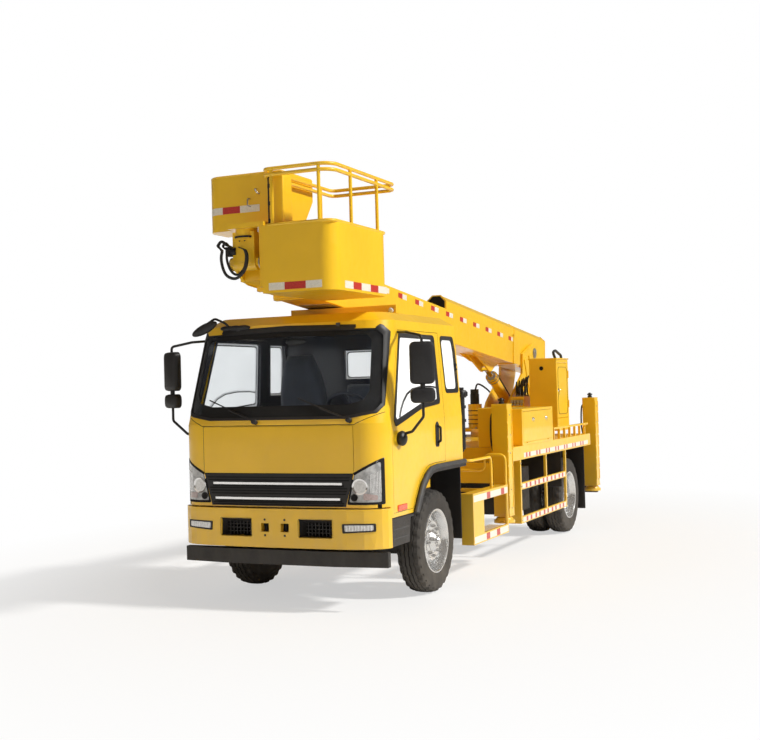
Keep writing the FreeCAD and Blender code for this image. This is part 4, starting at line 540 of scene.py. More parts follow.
# ---------------------------------------------------------------- wheels and tyres
def tyre_mesh(name, body, centres, node, drive):
    """Tyres of one body: rounded side walls with rings, grooved tread and shoulder lugs."""
    steps = 120
    half = 0.118
    grooves = (-0.062, -0.021, 0.021, 0.062)
    shape = Shape()
    for centre in centres:
        rings = []
        for step in range(steps):
            angle = math.tau * step / steps
            wave = (0.0045 if drive else 0.003) * (1 if step % 4 < 2 else -1)
            notch = 0.015 if step % 4 < 2 else 0.0
            shoulder = [(0.108 - notch * 0.4, 0.458 - notch), (0.113, 0.438), (0.1165, 0.402), (half, 0.398),
                (half, 0.375), (0.114, 0.33), (0.112, 0.325), (0.104, 0.3), (0.096, 0.2905)]
            rows = [(-along, radius) for along, radius in reversed(shoulder)] + [(-0.1, 0.472 - notch)]
            for groove in grooves:
                shift = groove + wave
                crown = HUB - 0.001 - 0.9 * shift * shift
                cuts = [notch * 0.9 if groove == end else 0 for end in (grooves[0], grooves[-1])]
                rows += [(shift - 0.0062, crown - cuts[0]), (shift - 0.0045, HUB - 0.016),
                    (shift + 0.0045, HUB - 0.016), (shift + 0.0062, crown - cuts[1])]
            rows += [(0.1, 0.472 - notch)] + shoulder
            rings.append([centre + Vector((along, radius * math.cos(angle), radius * math.sin(angle)))
                for along, radius in rows])
        shape.ribbon(rings)
    tyre = shape.made(name, body, RUBBER, smooth=28)
    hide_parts(node)


def wheels():
    """Tyres, nuts, hub caps, rim lips and valve stems."""
    for side, s in SIDES:
        out = X * s
        front = Vector((s * FRONT_TRACK, AXLE, HUB))
        rear = Vector((s * REAR_TRACK, REAR, HUB))
        tyre_mesh(f"tyre_front_{side}", f"front_wheel_{side}", [front], f"front_tyre_{side}", False)
        pair = [rear, rear - out * TWIN_GAP]
        tyre_mesh(f"tyres_rear_{side}", f"rear_wheels_{side}", pair, f"rear_tyres_{side}", True)
        for word, body, centre, face, hub in (("front", f"front_wheel_{side}", front, 0.072, 0.118),
                ("rear", f"rear_wheels_{side}", rear, -0.03, 0.06)):
            nuts = Shape()
            for spot in circle(centre + out * face, Y * 0.142, Z * 0.142, 8):
                nuts.nut(spot, out, 0.017, 0.02)
            for spot in circle(centre + out * hub, Y * 0.052, Z * 0.052, 8, 0.3):
                nuts.nut(spot, out, 0.008, 0.006)
            nuts.made(f"wheel_nuts_{word}_{side}", body, STEEL)
            cap = Shape().lathe([(0, CORE), (0, 0.04), (0.016, 0.038), (0.026, 0.028), (0.03, CORE)],
                centre + out * hub, out, 32)
            cap.lathe([(face - 0.004, 0.116), (face - 0.004, 0.168), (face + 0.002, 0.168), (face + 0.004, 0.116)],
                centre, out, 48)
            cap.made(f"hub_cap_{word}_{side}", body, SILVER)
            lip = Shape().lathe([(0.101, 0.283), (0.112, 0.29), (0.114, 0.302), (0.108, 0.305), (0.101, 0.296)],
                centre, out, 64)
            stem = centre + out * 0.045 + Vector((0, 0, -0.235))
            lip.tube(bend([stem, stem + out * 0.045, stem + out * 0.065 + Z * 0.03], 0.012), 0.004, 8)
            lip.made(f"rim_lip_{word}_{side}", body, SILVER)


# ---------------------------------------------------------------- cab
def cab_trim():
    """Rubber and dark border of the windscreen, and the rubber of the rear and quarter windows."""
    screen, shell = Skin("cab_glass"), Skin("cab_shell")
    skin = Skin("cab_shell", "cab_glass")
    half = [(0.695, 1.69), (0.955, 1.735), (0.995, 1.8), (0.965, 2.455), (0.915, 2.52), (0, 2.542)]
    opening = [(0.695, 1.7), (0.94, 1.745), (0.982, 1.805), (0.935, 2.435), (0.885, 2.485), (0, 2.503)]
    clear = [(0.69, 1.815), (0.83, 1.85), (0.876, 1.93), (0.845, 2.385), (0.805, 2.428), (0, 2.44)]

    def loop(points, across=1.0, tall=1.0):
        """Both halves of a ring about the middle of the screen, from its right-hand half."""
        points = [(x * across, 2.09 + (z - 2.09) * tall) for x, z in points]
        return ring(points + [(-x, z) for x, z in points[-2::-1]], 0.03, 3, 4)

    outer, mouth = loop(half), loop(opening, 1.009, 1.02)
    between = [((a[0] + b[0]) / 2, (a[1] + b[1]) / 2) for a, b in zip(outer, mouth)]
    pane = loop(opening, 0.985, 0.965)
    rows = [[surface.front(point, lift) for point in loop] for surface, loop, lift in (
        (shell, outer, -0.002), (shell, outer, 0.003), (shell, between, 0.005), (shell, mouth, 0.006),
        (screen, pane, 0.01), (screen, pane, 0.0002))]
    Shape().ribbon(rows).made("windscreen_rubber", "truck", BLACK)
    band(loop(opening, 0.992, 0.982), loop(clear), screen.front,
        (0.0002, 0.0012, 0.0012, 0.0002)).made("windscreen_border", "truck", HOLE)
    edges = [ring([(-x, low), (x, low), (x, high), (-x, high)], 0.04, 5, 3)
        for x, low, high in ((0.262, 2.038, 2.369), (0.225, 2.075, 2.332))]
    band(*edges, skin.back, GUIDE).made("rear_window_rubber", "truck", BLACK)
    for side, s in SIDES:
        lay = skin.side(s)
        big = [(0.385, 1.885), (0.742, 1.885), (0.735, 2.3), (0.7, 2.448), (0.348, 2.448)]
        small = [(0.425, 1.925), (0.702, 1.925), (0.692, 2.295), (0.662, 2.408), (0.395, 2.408)]
        rubber = band(ring(big, 0.05, 5, 3), ring(small, 0.05, 5, 3), lay, GUIDE)
        rubber.made(f"quarter_window_rubber_{side}", "truck", BLACK)
        hinge = Shape()
        for z in (2.12, 2.165):
            spot = lay((0.716, z), 0.004)
            hinge.rod(spot, spot + X * s * 0.012, 0.012, 16)
        hinge.made(f"quarter_window_catches_{side}", "truck", BLACK)


def door_trim():
    """Window rubber, handle, mirrors and the dark arc in the window's front corner; all of it opens with the door."""
    for side, s in SIDES:
        lay = Skin(f"door_{side}", f"door_glass_{side}").side(s)
        body = f"door_{side}"
        outer = [(-0.94, 1.66), (-0.903, 1.605), (-0.258, 1.752), (0.188, 1.785), (0.205, 1.82), (0.19, 2.428),
            (0.145, 2.446), (-0.667, 2.446)]
        inner = [(-0.868, 1.692), (-0.85, 1.668), (-0.245, 1.8), (0.15, 1.828), (0.16, 1.85), (0.146, 2.385),
            (0.115, 2.404), (-0.625, 2.404)]
        rubber = band(ring(outer, 0.03, 3, 4), ring(inner, 0.03, 3, 4), lay, GUIDE)
        rubber.made(f"door_window_rubber_{side}", body, BLACK)
        arc = [(-0.79, 1.69), (-0.747, 1.755), (-0.677, 1.825), (-0.579, 1.89), (-0.436, 1.935), (-0.213, 1.955),
            (0.02, 1.955), (0.15, 1.945)]
        corner = Shape().tube(bend([lay(point, 0.001) for point in arc], 0.05, 3), 0.013, 10, flat=0.35)
        corner.made(f"door_window_arc_{side}", body, BLACK)
        edge = [(0.045, 1.375), (0.135, 1.375), (0.135, 1.585), (0.09, 1.625), (0.045, 1.585)]
        plate = patch(ring(edge, 0.035, 5, 2), lay, -0.002, 0.006, rows=6)
        grip_y = AXLE + 0.098
        x = s * (CAB_HALF + 0.005)
        plate.tube(bend([(x, grip_y, 1.575), (x + s * 0.03, grip_y, 1.56), (x + s * 0.03, grip_y, 1.43),
            (x, grip_y, 1.415)], 0.02), 0.011, 12)
        plate.rod((x, grip_y, 1.395), (x + s * 0.008, grip_y, 1.395), 0.011, 16)
        plate.made(f"door_handle_{side}", body, BLACK)
        mirrors(side, s, lay)


def mirrors(side, s, lay):
    """Two mirror heads on one stalk, turned outwards, carried by the door."""
    centre = Vector((s * 1.3, AXLE - 0.905, 0))
    across, back = Vector((s * 0.906, 0.423, 0)), Vector((-s * 0.423, 0.906, 0))
    shape, panes = Shape(), Shape()
    for low, high in ((1.975, 2.35), (1.81, 1.945)):
        half, mid, tall = 0.11, (low + high) / 2, (high - low) / 2
        profile = rounded([(-half, -tall), (half, -tall), (half, tall), (-half, tall)], 0.05, 5)
        shape.loft([[centre + across * (px * scale) + back * depth + Z * (mid + pz * (1 - (1 - scale) * half / tall))
            for px, pz in profile] for depth, scale in ((0.038, 0.93), (0.03, 1.0), (-0.005, 1.0), (-0.028, 0.94),
            (-0.039, 0.76))])
        edge = rounded([(x * 0.092, z * (tall - 0.02)) for x, z in ((-1, -1), (1, -1), (1, 1), (-1, 1))], 0.04, 4)
        panes.loft([[centre + across * px + back * depth + Z * (mid + pz) for px, pz in edge]
            for depth in (0.0375, 0.0405)])
    stalk, y = centre.x, centre.y
    pivot = Vector((s * (CAB_HALF + 0.03), AXLE - 0.83, 1.5))
    shape.tube(bend([(stalk, y, 2.34), (stalk, y, 2.4), (s * 1.12, AXLE - 0.82, 2.44), lay((-0.685, 2.452), 0.006)],
        0.05), 0.0125, 12)
    shape.tube(bend([(stalk, y, 1.83), (stalk, y, 1.69), (s * 1.17, AXLE - 0.86, 1.56), (s * 1.1, AXLE - 0.84, 1.545),
        pivot], 0.04), 0.0125, 12)
    shape.tube([(stalk, y, 1.93), (stalk, y, 1.99)], 0.022, 12)
    shape.egg(pivot, (0.045, 0.066, 0.068))
    shape.rod((s * (CAB_HALF + 0.0005), pivot.y, pivot.z), (s * (CAB_HALF + 0.03), pivot.y, pivot.z), 0.06, 28)
    case = shape.made(f"mirror_case_{side}", f"door_{side}", BLACK, smooth=45)
    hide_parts(f"mirror_{side}")
    panes.made(f"mirror_panes_{side}", f"door_{side}", MIRROR)


def nose():
    """Grille bars, headlamps, panel seams and wipers."""
    lay = Skin("cab_shell", "grille", "front_lid", "headlamps", "cab_glass", "bumper").front

    def strip(low, high, half, depth, shape):
        """A flat bar across the nose that follows its curve."""
        cuts = 24
        rows = [[lay((half * (2 * k / cuts - 1), z), lift) for k in range(cuts + 1)]
            for z, lift in ((low, -0.002), (low, depth), (high, depth), (high, -0.002))]
        shape.ribbon(rows, around=False, ends=[[row * (cuts + 1) + k for row in range(4)] for k in (0, cuts)])

    bright, slats, seal = Shape(), Shape(), Shape()
    for z, half in ((1.116, 0.652), (0.982, 0.632)):
        strip(z, z + 0.02, half, 0.016, bright)
        strip(z - 0.018, z, half + 0.01, 0.01, slats)
    for z in (1.175, 1.15, 1.08, 1.055, 1.03, 0.95, 0.932):
        strip(z, z + 0.01, 0.655 + (z - 0.925) * 0.267, 0.007, slats)
    strip(1.2095, 1.2165, 0.748, 0.002, seal)
    bright.made("grille_bright_bars", "truck", CHROME)
    slats.made("grille_slats", "truck", HOLE)
    seal.made("grille_top_seal", "truck", HOLE)
    for side, s in SIDES:
        headlamp(side, s, lay)
    seams(lay)
    wipers(lay)


def headlamp(side, s, lay):
    """Black surround, a large and a small lens, and fine ribs on one lamp cover."""
    edge = [(s * x, z) for x, z in ((0.692, 0.944), (1.0, 0.944), (1.0, 1.352), (0.752, 1.218))]
    inset = [(s * x, z) for x, z in ((0.712, 0.966), (0.98, 0.966), (0.98, 1.318), (0.77, 1.202))]
    band(ring(edge, 0.012, 2, 5), ring(inset, 0.012, 2, 5), lay,
        (-0.001, 0.003, 0.003, -0.001)).made(f"headlamp_rim_{side}", "truck", HOLE)
    for name, x, z, radius, rim_mat, mat in (("main", 0.812, 1.101, 0.07, REFLECTOR, LENS),
            ("low", 0.76, 1.007, 0.032, BLACK, HOLE)):
        disc, inner, lens = [circle(Vector((s * x, z)), Vector((share * radius, 0)), Vector((0, share * radius)), 28)
            for share in (1, 0.8, 0.79)]
        band(disc, inner, lay, (-0.001, 0.009, 0.003, -0.001)).made(f"headlamp_{name}_ring_{side}", "truck", rim_mat)
        patch(lens, lay, -0.001, 0.0035, rows=4).made(f"headlamp_{name}_lens_{side}", "truck", mat)
    turn = [(s * x, z) for x, z in ((0.845, 0.985), (0.955, 0.985), (0.955, 1.025), (0.845, 1.045))]
    patch(ring(turn, 0.01, 2, 2), lay, -0.001, 0.003).made(f"headlamp_indicator_{side}", "truck", PINK)
    ribs([(0.905 + 0.01 * k, 1.045, 1.205 + 0.0045 * k) for k in range(8)], s, lay, 0.0028,
        (-0.001, 0.003)).made(f"headlamp_flutes_{side}", "truck", REFLECTOR)


def ribs(places, s, lay, half, lifts):
    """Upright ribs on a lamp, each given as x and its lowest and highest z."""
    shape = Shape()
    for x, low, high in places:
        shape.put([lay((s * x + across, z), lift) for across in (-half, half) for z in (low, high) for lift in lifts],
            BLOCK)
    return shape


def seams(lay):
    """The sunk dark seal under the windscreen, where the scuttle panel meets the lid."""
    seal = Shape()
    path = [(-1.0, 1.742), (-0.8, 1.655), (-0.775, 1.642), (0.775, 1.642), (0.8, 1.655), (1.0, 1.742)]
    seal.tube([lay(point, -0.0006) for point in split(path, 8) + path[-1:]], 0.003, 6)
    seal.made("scuttle_seal", "truck", HOLE)


def wipers(lay):
    """Two wipers at rest: foot, arm and a blade that follows the screen."""
    for name, foot, tip in (("left", (0.735, 1.672), (0.25, 1.85)), ("right", (-0.195, 1.668), (-0.68, 1.85))):
        shape = Shape()
        base = lay(foot, 0.0)
        shape.rod(base, base + Vector((0, -0.032, 0.01)), 0.02, 20)
        shape.egg(base + Vector((0, -0.034, 0.012)), (0.03, 0.022, 0.024))
        arm_end = lay(((foot[0] * 2 + tip[0] * 3) / 5, (foot[1] * 2 + tip[1] * 3) / 5), 0.028)
        shape.tube([base + Vector((0, -0.036, 0.012)), base.lerp(arm_end, 0.35) + Vector((0, -0.018, 0.008)),
            arm_end], 0.008, 8, flat=0.6)
        blade = [lay((arm_end.x + (tip[0] - foot[0]) * t, arm_end.z + (tip[1] - foot[1]) * t), 0.008)
            for t in (-0.55, -0.4, -0.2, 0, 0.2, 0.4, 0.5)]
        shape.tube(blade, 0.0065, 8, flat=0.5)
        shape.tube([arm_end, lay((arm_end.x, arm_end.z), 0.01)], 0.008, 8)
        shape.made(f"wiper_{name}", "truck", BLACK)


def roof_corner():
    """Blind-spot mirror on the right front corner of the roof, the clips over the screen and the side markers."""
    skin = Skin("cab_shell")
    shape = Shape()
    for x in (-0.64, -0.55, -0.47):
        foot = skin.front((x, 2.545), 0.004)
        shape.egg(foot, (0.08, 0.024, 0.026))
    foot = skin.front((-0.62, 2.55))
    head = Vector((-0.815, foot.y - 0.13, 2.545))
    shape.tube(bend([foot, foot + Vector((-0.02, -0.05, 0.045)), (-0.725, foot.y - 0.09, 2.64), head + Z * 0.03],
        0.04), 0.011, 12)
    shape.egg((0, 0, 0), (0.148, 0.034, 0.046), placed(head, -22, "Y"))
    shape.made("blind_spot_mirror", "truck", BLACK, smooth=60)
    for side, s in SIDES:
        spot = skin.front((s * 0.516, 2.525))
        Shape().box((spot.x - 0.02, spot.x + 0.02), (spot.y - 0.008, spot.y + 0.02), (2.505, 2.548)).made(
            f"sun_visor_clip_{side}", "truck", GREY, 0.004)
        lamp = Shape().box(wide(s, CAB_HALF - 0.004, CAB_HALF + 0.01), (AXLE - 0.905, AXLE - 0.7), (0.858, 0.915))
        lamp.made(f"side_marker_{side}", f"door_{side}", MARKER, 0.006)


# ---------------------------------------------------------------- inside the cab
def cushion(low, high, crown):
    """A crowned, closed seat pad between two corners, with pulled-in sides and two sewn channels."""
    low, high = Vector(low), Vector(high)
    size = high - low
    count = 14
    width = count + 1
    half = width * width
    verts = []
    for layer in (0, 1):
        for v in (row / count for row in range(width)):
            for u in (col / count for col in range(width)):
                edge = min(u, 1 - u, v, 1 - v) * 2
                dome = (1 - (1 - min(1, edge * 2.2)) ** 3)
                pull = 0.0125 * (1 - dome)
                rise = size.z * 0.06 * (1 - dome)
                if layer:
                    channel = 0.01 * (math.exp(-((u - 0.27) * 30) ** 2) + math.exp(-((u - 0.73) * 30) ** 2))
                    rise = (size.z * (0.55 + 0.45 * dome) + crown * math.sin(math.pi * u) * math.sin(math.pi * v)
                        - channel)
                verts.append((low.x + size.x * u + pull * (0.5 - u) * 2, low.y + size.y * v + pull * (0.5 - v) * 2,
                    low.z + rise))
    faces = [face for layer in (0, half) for face in weave(width, width, layer, over=False, around=False)]
    rim = ([(0, c) for c in range(count)] + [(r, count) for r in range(count)]
        + [(count, c) for c in range(count, 0, -1)] + [(r, 0) for r in range(count, 0, -1)])
    spots = [r * width + c for r, c in rim]
    faces += [(a, b, half + b, half + a) for a, b in zip(spots, spots[1:] + spots[:1])]
    return Shape().put(verts, faces)


def seats():
    """A low-backed driver's seat, a tall tapered passenger seat and the rear bench."""
    for word, low, high, top, taper in (("driver", 0.12, 0.65, 0.385, 0.12),
            ("passenger", -0.615, -0.085, 0.69, 0.52)):
        width = high - low
        base = cushion((low, AXLE - 0.462, 1.53), (high, AXLE + 0.01, 1.655), 0.02)
        base.made(f"seat_cushion_{word}", "truck", CLOTH, smooth=60)
        back = cushion((0, 0, 0), (width, top, 0.115), 0.018)
        for vert in back.verts:
            share = max(0.0, vert.y / top)
            vert.x = (vert.x - width / 2) * (1 - taper * share ** 3) + width / 2
        turn = placed((low, AXLE + 0.065, 1.625), 98, "X")
        Shape().put(back.verts, back.faces, turn).made(f"seat_back_{word}", "truck", CLOTH, smooth=60)
        Shape().box((low + 0.03, high - 0.03), (AXLE - 0.42, AXLE + 0.03), (1.245, 1.535)).made(
            f"seat_base_{word}", "truck", TRIM, 0.02)
    bench = cushion((-0.87, AXLE + 0.31, 1.45), (0.87, AXLE + 0.7, 1.6), 0.02)
    bench.made("bench_cushion", "truck", CLOTH, smooth=60)
    Shape().box((-0.86, 0.86), (AXLE + 0.32, AXLE + 0.7), (1.245, 1.455)).made("bench_base", "truck", TRIM, 0.02)
    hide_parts("seats")


def dash_detail():
    """Instrument cowl, switch panel, steering boss and gear lever, with cab lining behind the glass."""
    shape = Shape()
    cowl = [(AXLE - 0.98, 1.655), (AXLE - 0.78, 1.65), (AXLE - 0.8, 1.745), (AXLE - 0.93, 1.765)]
    shape.prism(rounded(cowl, 0.03, 3), 0.27, 0.68)
    shape.lathe([(0, CORE), (0, 0.06), (0.02, 0.075), (0.035, 0.055), (0.04, CORE)], (0.475, AXLE - 0.662, 1.748),
        Vector((0, 0.7, 0.72)), 28)
    shape.rod((0.05, AXLE - 0.7, 1.26), (0.03, AXLE - 0.62, 1.62), 0.011)
    shape.egg((0.03, AXLE - 0.62, 1.64), (0.026, 0.026, 0.032))
    shape.made("dash_cowl", "truck", TRIM, 0.004)
    dials = Shape()
    for x in (0.4, 0.475, 0.55):
        dials.knob([(0, 0.034), (0.006, 0.034), (0.004, 0.028)], (x, AXLE - 0.792, 1.705), Vector((0, 1, 0.15)), 24)
    dials.made("dash_dials", "truck", BLACK)
    half = CAB_HALF - 0.202
    lining = Shape().box((-half, half), (CAB_REAR - 0.062, CAB_REAR - 0.056), (1.3, 1.885))
    lining.made("cab_back_lining", "truck", TRIM, 0.002)
    shape = Shape()
    shape.rod((0, AXLE - 0.83, 2.5), (0, AXLE - 0.8, 2.44), 0.008)
    shape.egg((0, AXLE - 0.8, 2.4), (0.11, 0.014, 0.036))
    shape.made("inside_mirror", "truck", BLACK)


# ---------------------------------------------------------------- bumper
def bumper_detail():
    """Lamps, grating, pocket lips and towing points in the bumper."""
    lay = Skin("bumper").front
    for side, s in SIDES:
        outline = [(s * x, z) for x, z in ((0.66, 0.7), (0.945, 0.715), (0.945, 0.785), (0.655, 0.782))]
        inner = [(s * x, z) for x, z in ((0.68, 0.715), (0.928, 0.727), (0.928, 0.773), (0.676, 0.77))]
        band(ring(outline, 0.01, 2, 4), ring(inner, 0.01, 2, 4), lay,
            (-0.002, 0.007, 0.005, -0.002)).made(f"bumper_lamp_rim_{side}", "truck", BLACK)
        patch(ring(inner, 0.01, 2, 4), lay, -0.002, 0.003).made(f"bumper_lamp_{side}", "truck", LENS)
        ribs([(0.7 + 0.026 * k, 0.723, 0.766) for k in range(9)], s, lay, 0.003,
            (0.001, 0.006)).made(f"bumper_lamp_ribs_{side}", "truck", REFLECTOR)
        pocket = Shape()
        back = AXLE - 1.145
        low, high = wide(s, 0.24, 0.56)
        pocket.box((low + 0.001, high - 0.001), (back, back + 0.012), (0.658, 0.812))
        for k in range(9):
            x = low + 0.02 + 0.035 * k
            pocket.box((x - 0.004, x + 0.004), (back - 0.055, back + 0.002), (0.66, 0.81))
        for z in (0.69, 0.722, 0.754, 0.786):
            pocket.box((low + 0.002, high - 0.002), (back - 0.05, back + 0.002), (z - 0.003, z + 0.003))
        pocket.made(f"bumper_grating_{side}", "truck", BLACK)
        edge = [(s * x, z) for x, z in ((0.234, 0.652), (0.566, 0.652), (0.572, 0.82), (0.234, 0.82))]
        hole = [(s * x, z) for x, z in ((0.245, 0.663), (0.555, 0.663), (0.555, 0.807), (0.245, 0.807))]
        band(ring(edge, 0.02, 3, 3), ring(hole, 0.02, 3, 3), lay,
            (-0.001, 0.003, 0.004, -0.001)).made(f"bumper_pocket_lip_{side}", "truck", BLACK)
        low, high = wide(s, 0.06, 0.14)
        tow = Shape().box((low + 0.001, high - 0.001), (AXLE - 1.175, AXLE - 1.165), (0.702, 0.773))
        tow.rod((s * 0.1, AXLE - 1.25, 0.685), (s * 0.1, AXLE - 1.25, 0.79), 0.01)
        tow.made(f"tow_pocket_{side}", "truck", HOLE)
        dots = Shape()
        for z in (0.668, 0.808):
            spot = lay((s * 0.1, z), 0.0)
            dots.rod(spot + Y * 0.002, spot - Y * 0.004, 0.01, 16)
        dots.made(f"tow_bolts_{side}", "truck", BLACK)


# ---------------------------------------------------------------- behind the cab and the deck
def air_intake():
    """Raised air intake and pipes in the gap behind the cab, on the left."""
    x, y = 0.965, CAB_REAR + 0.17
    shape = Shape().tube(bend([(x, y, 1.3), (x, y, 1.86)], 0.05), 0.036, 24)
    for z in (1.42, 1.58, 1.72):
        shape.lathe([(0, 0.035), (0, 0.048), (0.03, 0.048), (0.03, 0.035)], (x, y, z), Z, 28)
    hood = [(0, CORE), (0, 0.05), (0.02, 0.066), (0.055, 0.066), (0.075, 0.052), (0.085, CORE)]
    shape.lathe(hood, (x, y, 1.83), Z, 32)
    for k in range(12):
        shape.box((-0.0695, -0.064), (-0.006, 0.006), (0.018, 0.058), placed((x, y, 1.83), 30 * k))
    shape.rod((x, y, 1.91), (x, y, 1.935), 0.03)
    shape.tube(bend([(x, y, 1.34), (x - 0.02, y + 0.01, 1.28), (0.8, y + 0.02, 1.27), (0.62, y, 1.24),
        (0.62, y, 1.0)], 0.06), 0.034, 20)
    shape.made("air_intake", "truck", BLACK)

    pipes = Shape()
    for radius, low, path in (
            (0.016, 0.05, ((0.6, 1.02), (0.62, 1.25), (0.54, 1.3), (0.46, 1.2), (0.44, 0.95))),
            (0.013, 0.06, ((0.3, 0.9), (0.34, 1.28), (0.2, 1.34), (0.08, 1.2), (0.06, 0.92)))):
        steps = (0.05, 0.06, 0.06, 0.06, low)
        pipes.tube(droop([(x, CAB_REAR + step, z) for (x, z), step in zip(path, steps)]), radius, 10)
    pipes.made("service_hoses", "truck", HOSE)


def deck_detail():
    """Tape, toolbox latches and hinges, floor tread and lamps on each side of the deck."""
    edge = DECK_HALF
    deck_front, deck_rear = AXLE + 2.055, REAR + 0.79
    for side, s in SIDES:
        out = X * s
        cells = "w10 " + "r7.5 w7.5 r7.5 w30 " * 7
        tape(f"deck_tape_{side}", "truck", cells, (s * edge, AXLE + 2.45, 1.12), Y, Z, out, 2.9, 0.052)
        latches = Shape()
        door = f"toolbox_door_{side}"
        for y in (AXLE + 2.835, AXLE + 3.371):
            latches.lathe([(0, CORE), (0, 0.024), (0.006, 0.022), (0.008, 0.012), (0.02, 0.01), (0.022, CORE)],
                (s * edge, y, 1.545), out, 24)
            latches.box(wide(s, edge - 0.001, edge + 0.016), (y - 0.006, y + 0.006), (1.508, 1.545))
        latches.made(f"toolbox_latches_{side}", door, CHROME, 0.001)
        seam = Shape()
        for y in (AXLE + 2.62, AXLE + 3.47):
            seam.rod((s * (edge + 0.006), y - 0.05, 1.286), (s * (edge + 0.006), y + 0.05, 1.286), 0.007)
        seam.made(f"toolbox_hinges_{side}", "truck", PAINT)
        floor = Shape()
        for y0, y1 in ((deck_front + 0.06, AXLE + 2.38), (AXLE + 3.8, deck_rear - 0.06)):
            rows = int((y1 - y0) / 0.09)
            for row in range(rows):
                for col in range(5):
                    x = s * (0.7 + col * 0.085 + (0.04 if row % 2 else 0))
                    y = y0 + 0.09 * row
                    turn = placed((x, y, DECK_TOP), 45 if (row + col) % 2 else -45)
                    floor.box((-0.02, 0.02), (-0.005, 0.005), (-0.0005, 0.0022), turn)
        floor.made(f"deck_tread_{side}", "truck", PAINT, 0.001)
        rear_lamps(side, s)
        guard_tape(side, s)
    tape("deck_tape_rear", "truck", "w10 r10 " * 10 + "w10", (-0.95, deck_rear, 1.15), X, Z, Y, 1.9, 0.055)


def rear_lamps(side, s):
    """Stop, turn and reversing lamps in one case under the deck's rear end."""
    y = REAR + 1.36
    low, high = wide(s, 0.6, 0.95)
    case = Shape().box((low, high), (y - 0.002, y + 0.016), (0.412, 0.498))
    case.made(f"tail_lamp_case_{side}", "truck", BLACK, 0.006)
    for name, x0, x1, mat in (("stop", 0.83, 0.94, RED), ("turn", 0.72, 0.82, AMBER), ("back", 0.61, 0.71, LENS)):
        lamp = Shape().box(wide(s, x0, x1), (y + 0.012, y + 0.022), (0.42, 0.49))
        lamp.made(f"tail_lamp_{name}_{side}", "truck", mat, 0.005)


def guard_tape(side, s):
    """Red and white tape on the side guard and the steps, the steps' treads and the guard's bolts."""
    out, edge = X * s, DECK_HALF
    start = AXLE + 2.36
    for name, z in (("low", 0.398), ("mid", 0.776)):
        cells = "w14 r7.5 w10 r7.5 " * 5 + "w10"
        tape(f"guard_tape_{name}_{side}", "truck", cells, (s * edge, start, z), Y, Z, out, 1.8, 0.05)
    for name, z, cells in (("low", 0.362, "w36 r11 w22 r11 w28"), ("top", 0.778, "w40 r11 w35 r11 w11")):
        tape(f"step_tape_{name}_{side}", "truck", cells, (s * edge, AXLE + 0.735, z), Y, Z, out, 1.08, 0.066)
    tread = Shape()
    low, high = wide(s, edge - 0.185, edge - 0.015)
    for k in range(18):
        y = AXLE + 0.8 + k * 0.052
        tread.box((low, high), (y, y + 0.01), (0.4395, 0.4425))
    tread.made(f"step_tread_{side}", "truck", PAINT, 0.0015)
    bolts = Shape()
    for y in (start - 0.04, start + 0.98, start + 1.85):
        for z in (0.423, 0.801, 1.06):
            bolts.nut((s * (edge - 0.0005), y, z), out, 0.01, 0.006)
    bolts.made(f"guard_bolts_{side}", "truck", STEEL)


def fender_lips():
    """The rounded outer roll of each cab wheel arch."""
    for side, s in SIDES:
        x = s * (CAB_HALF + 0.03)
        edge = ((-0.546, 0.81), (-0.5, 0.875), (-0.458, 0.937), (-0.354, 1.065), (-0.248, 1.14), (-0.152, 1.183),
            (0, 1.195), (0.755, 1.195))
        path = bend([(x, AXLE + y, z) for y, z in edge], 0.06, 4)
        Shape().tube(path, 0.024, 16, flat=0.9).made(f"arch_roll_{side}", "truck", GREY)
        seam = Shape()
        for z in (0.62, 0.7):
            seam.box(wide(s, CAB_HALF - 0.001, CAB_HALF + 0.003), (AXLE - 1.02, AXLE - 0.66), (z, z + 0.012))
        seam.made(f"step_panel_ribs_{side}", "truck", GREY, 0.002)


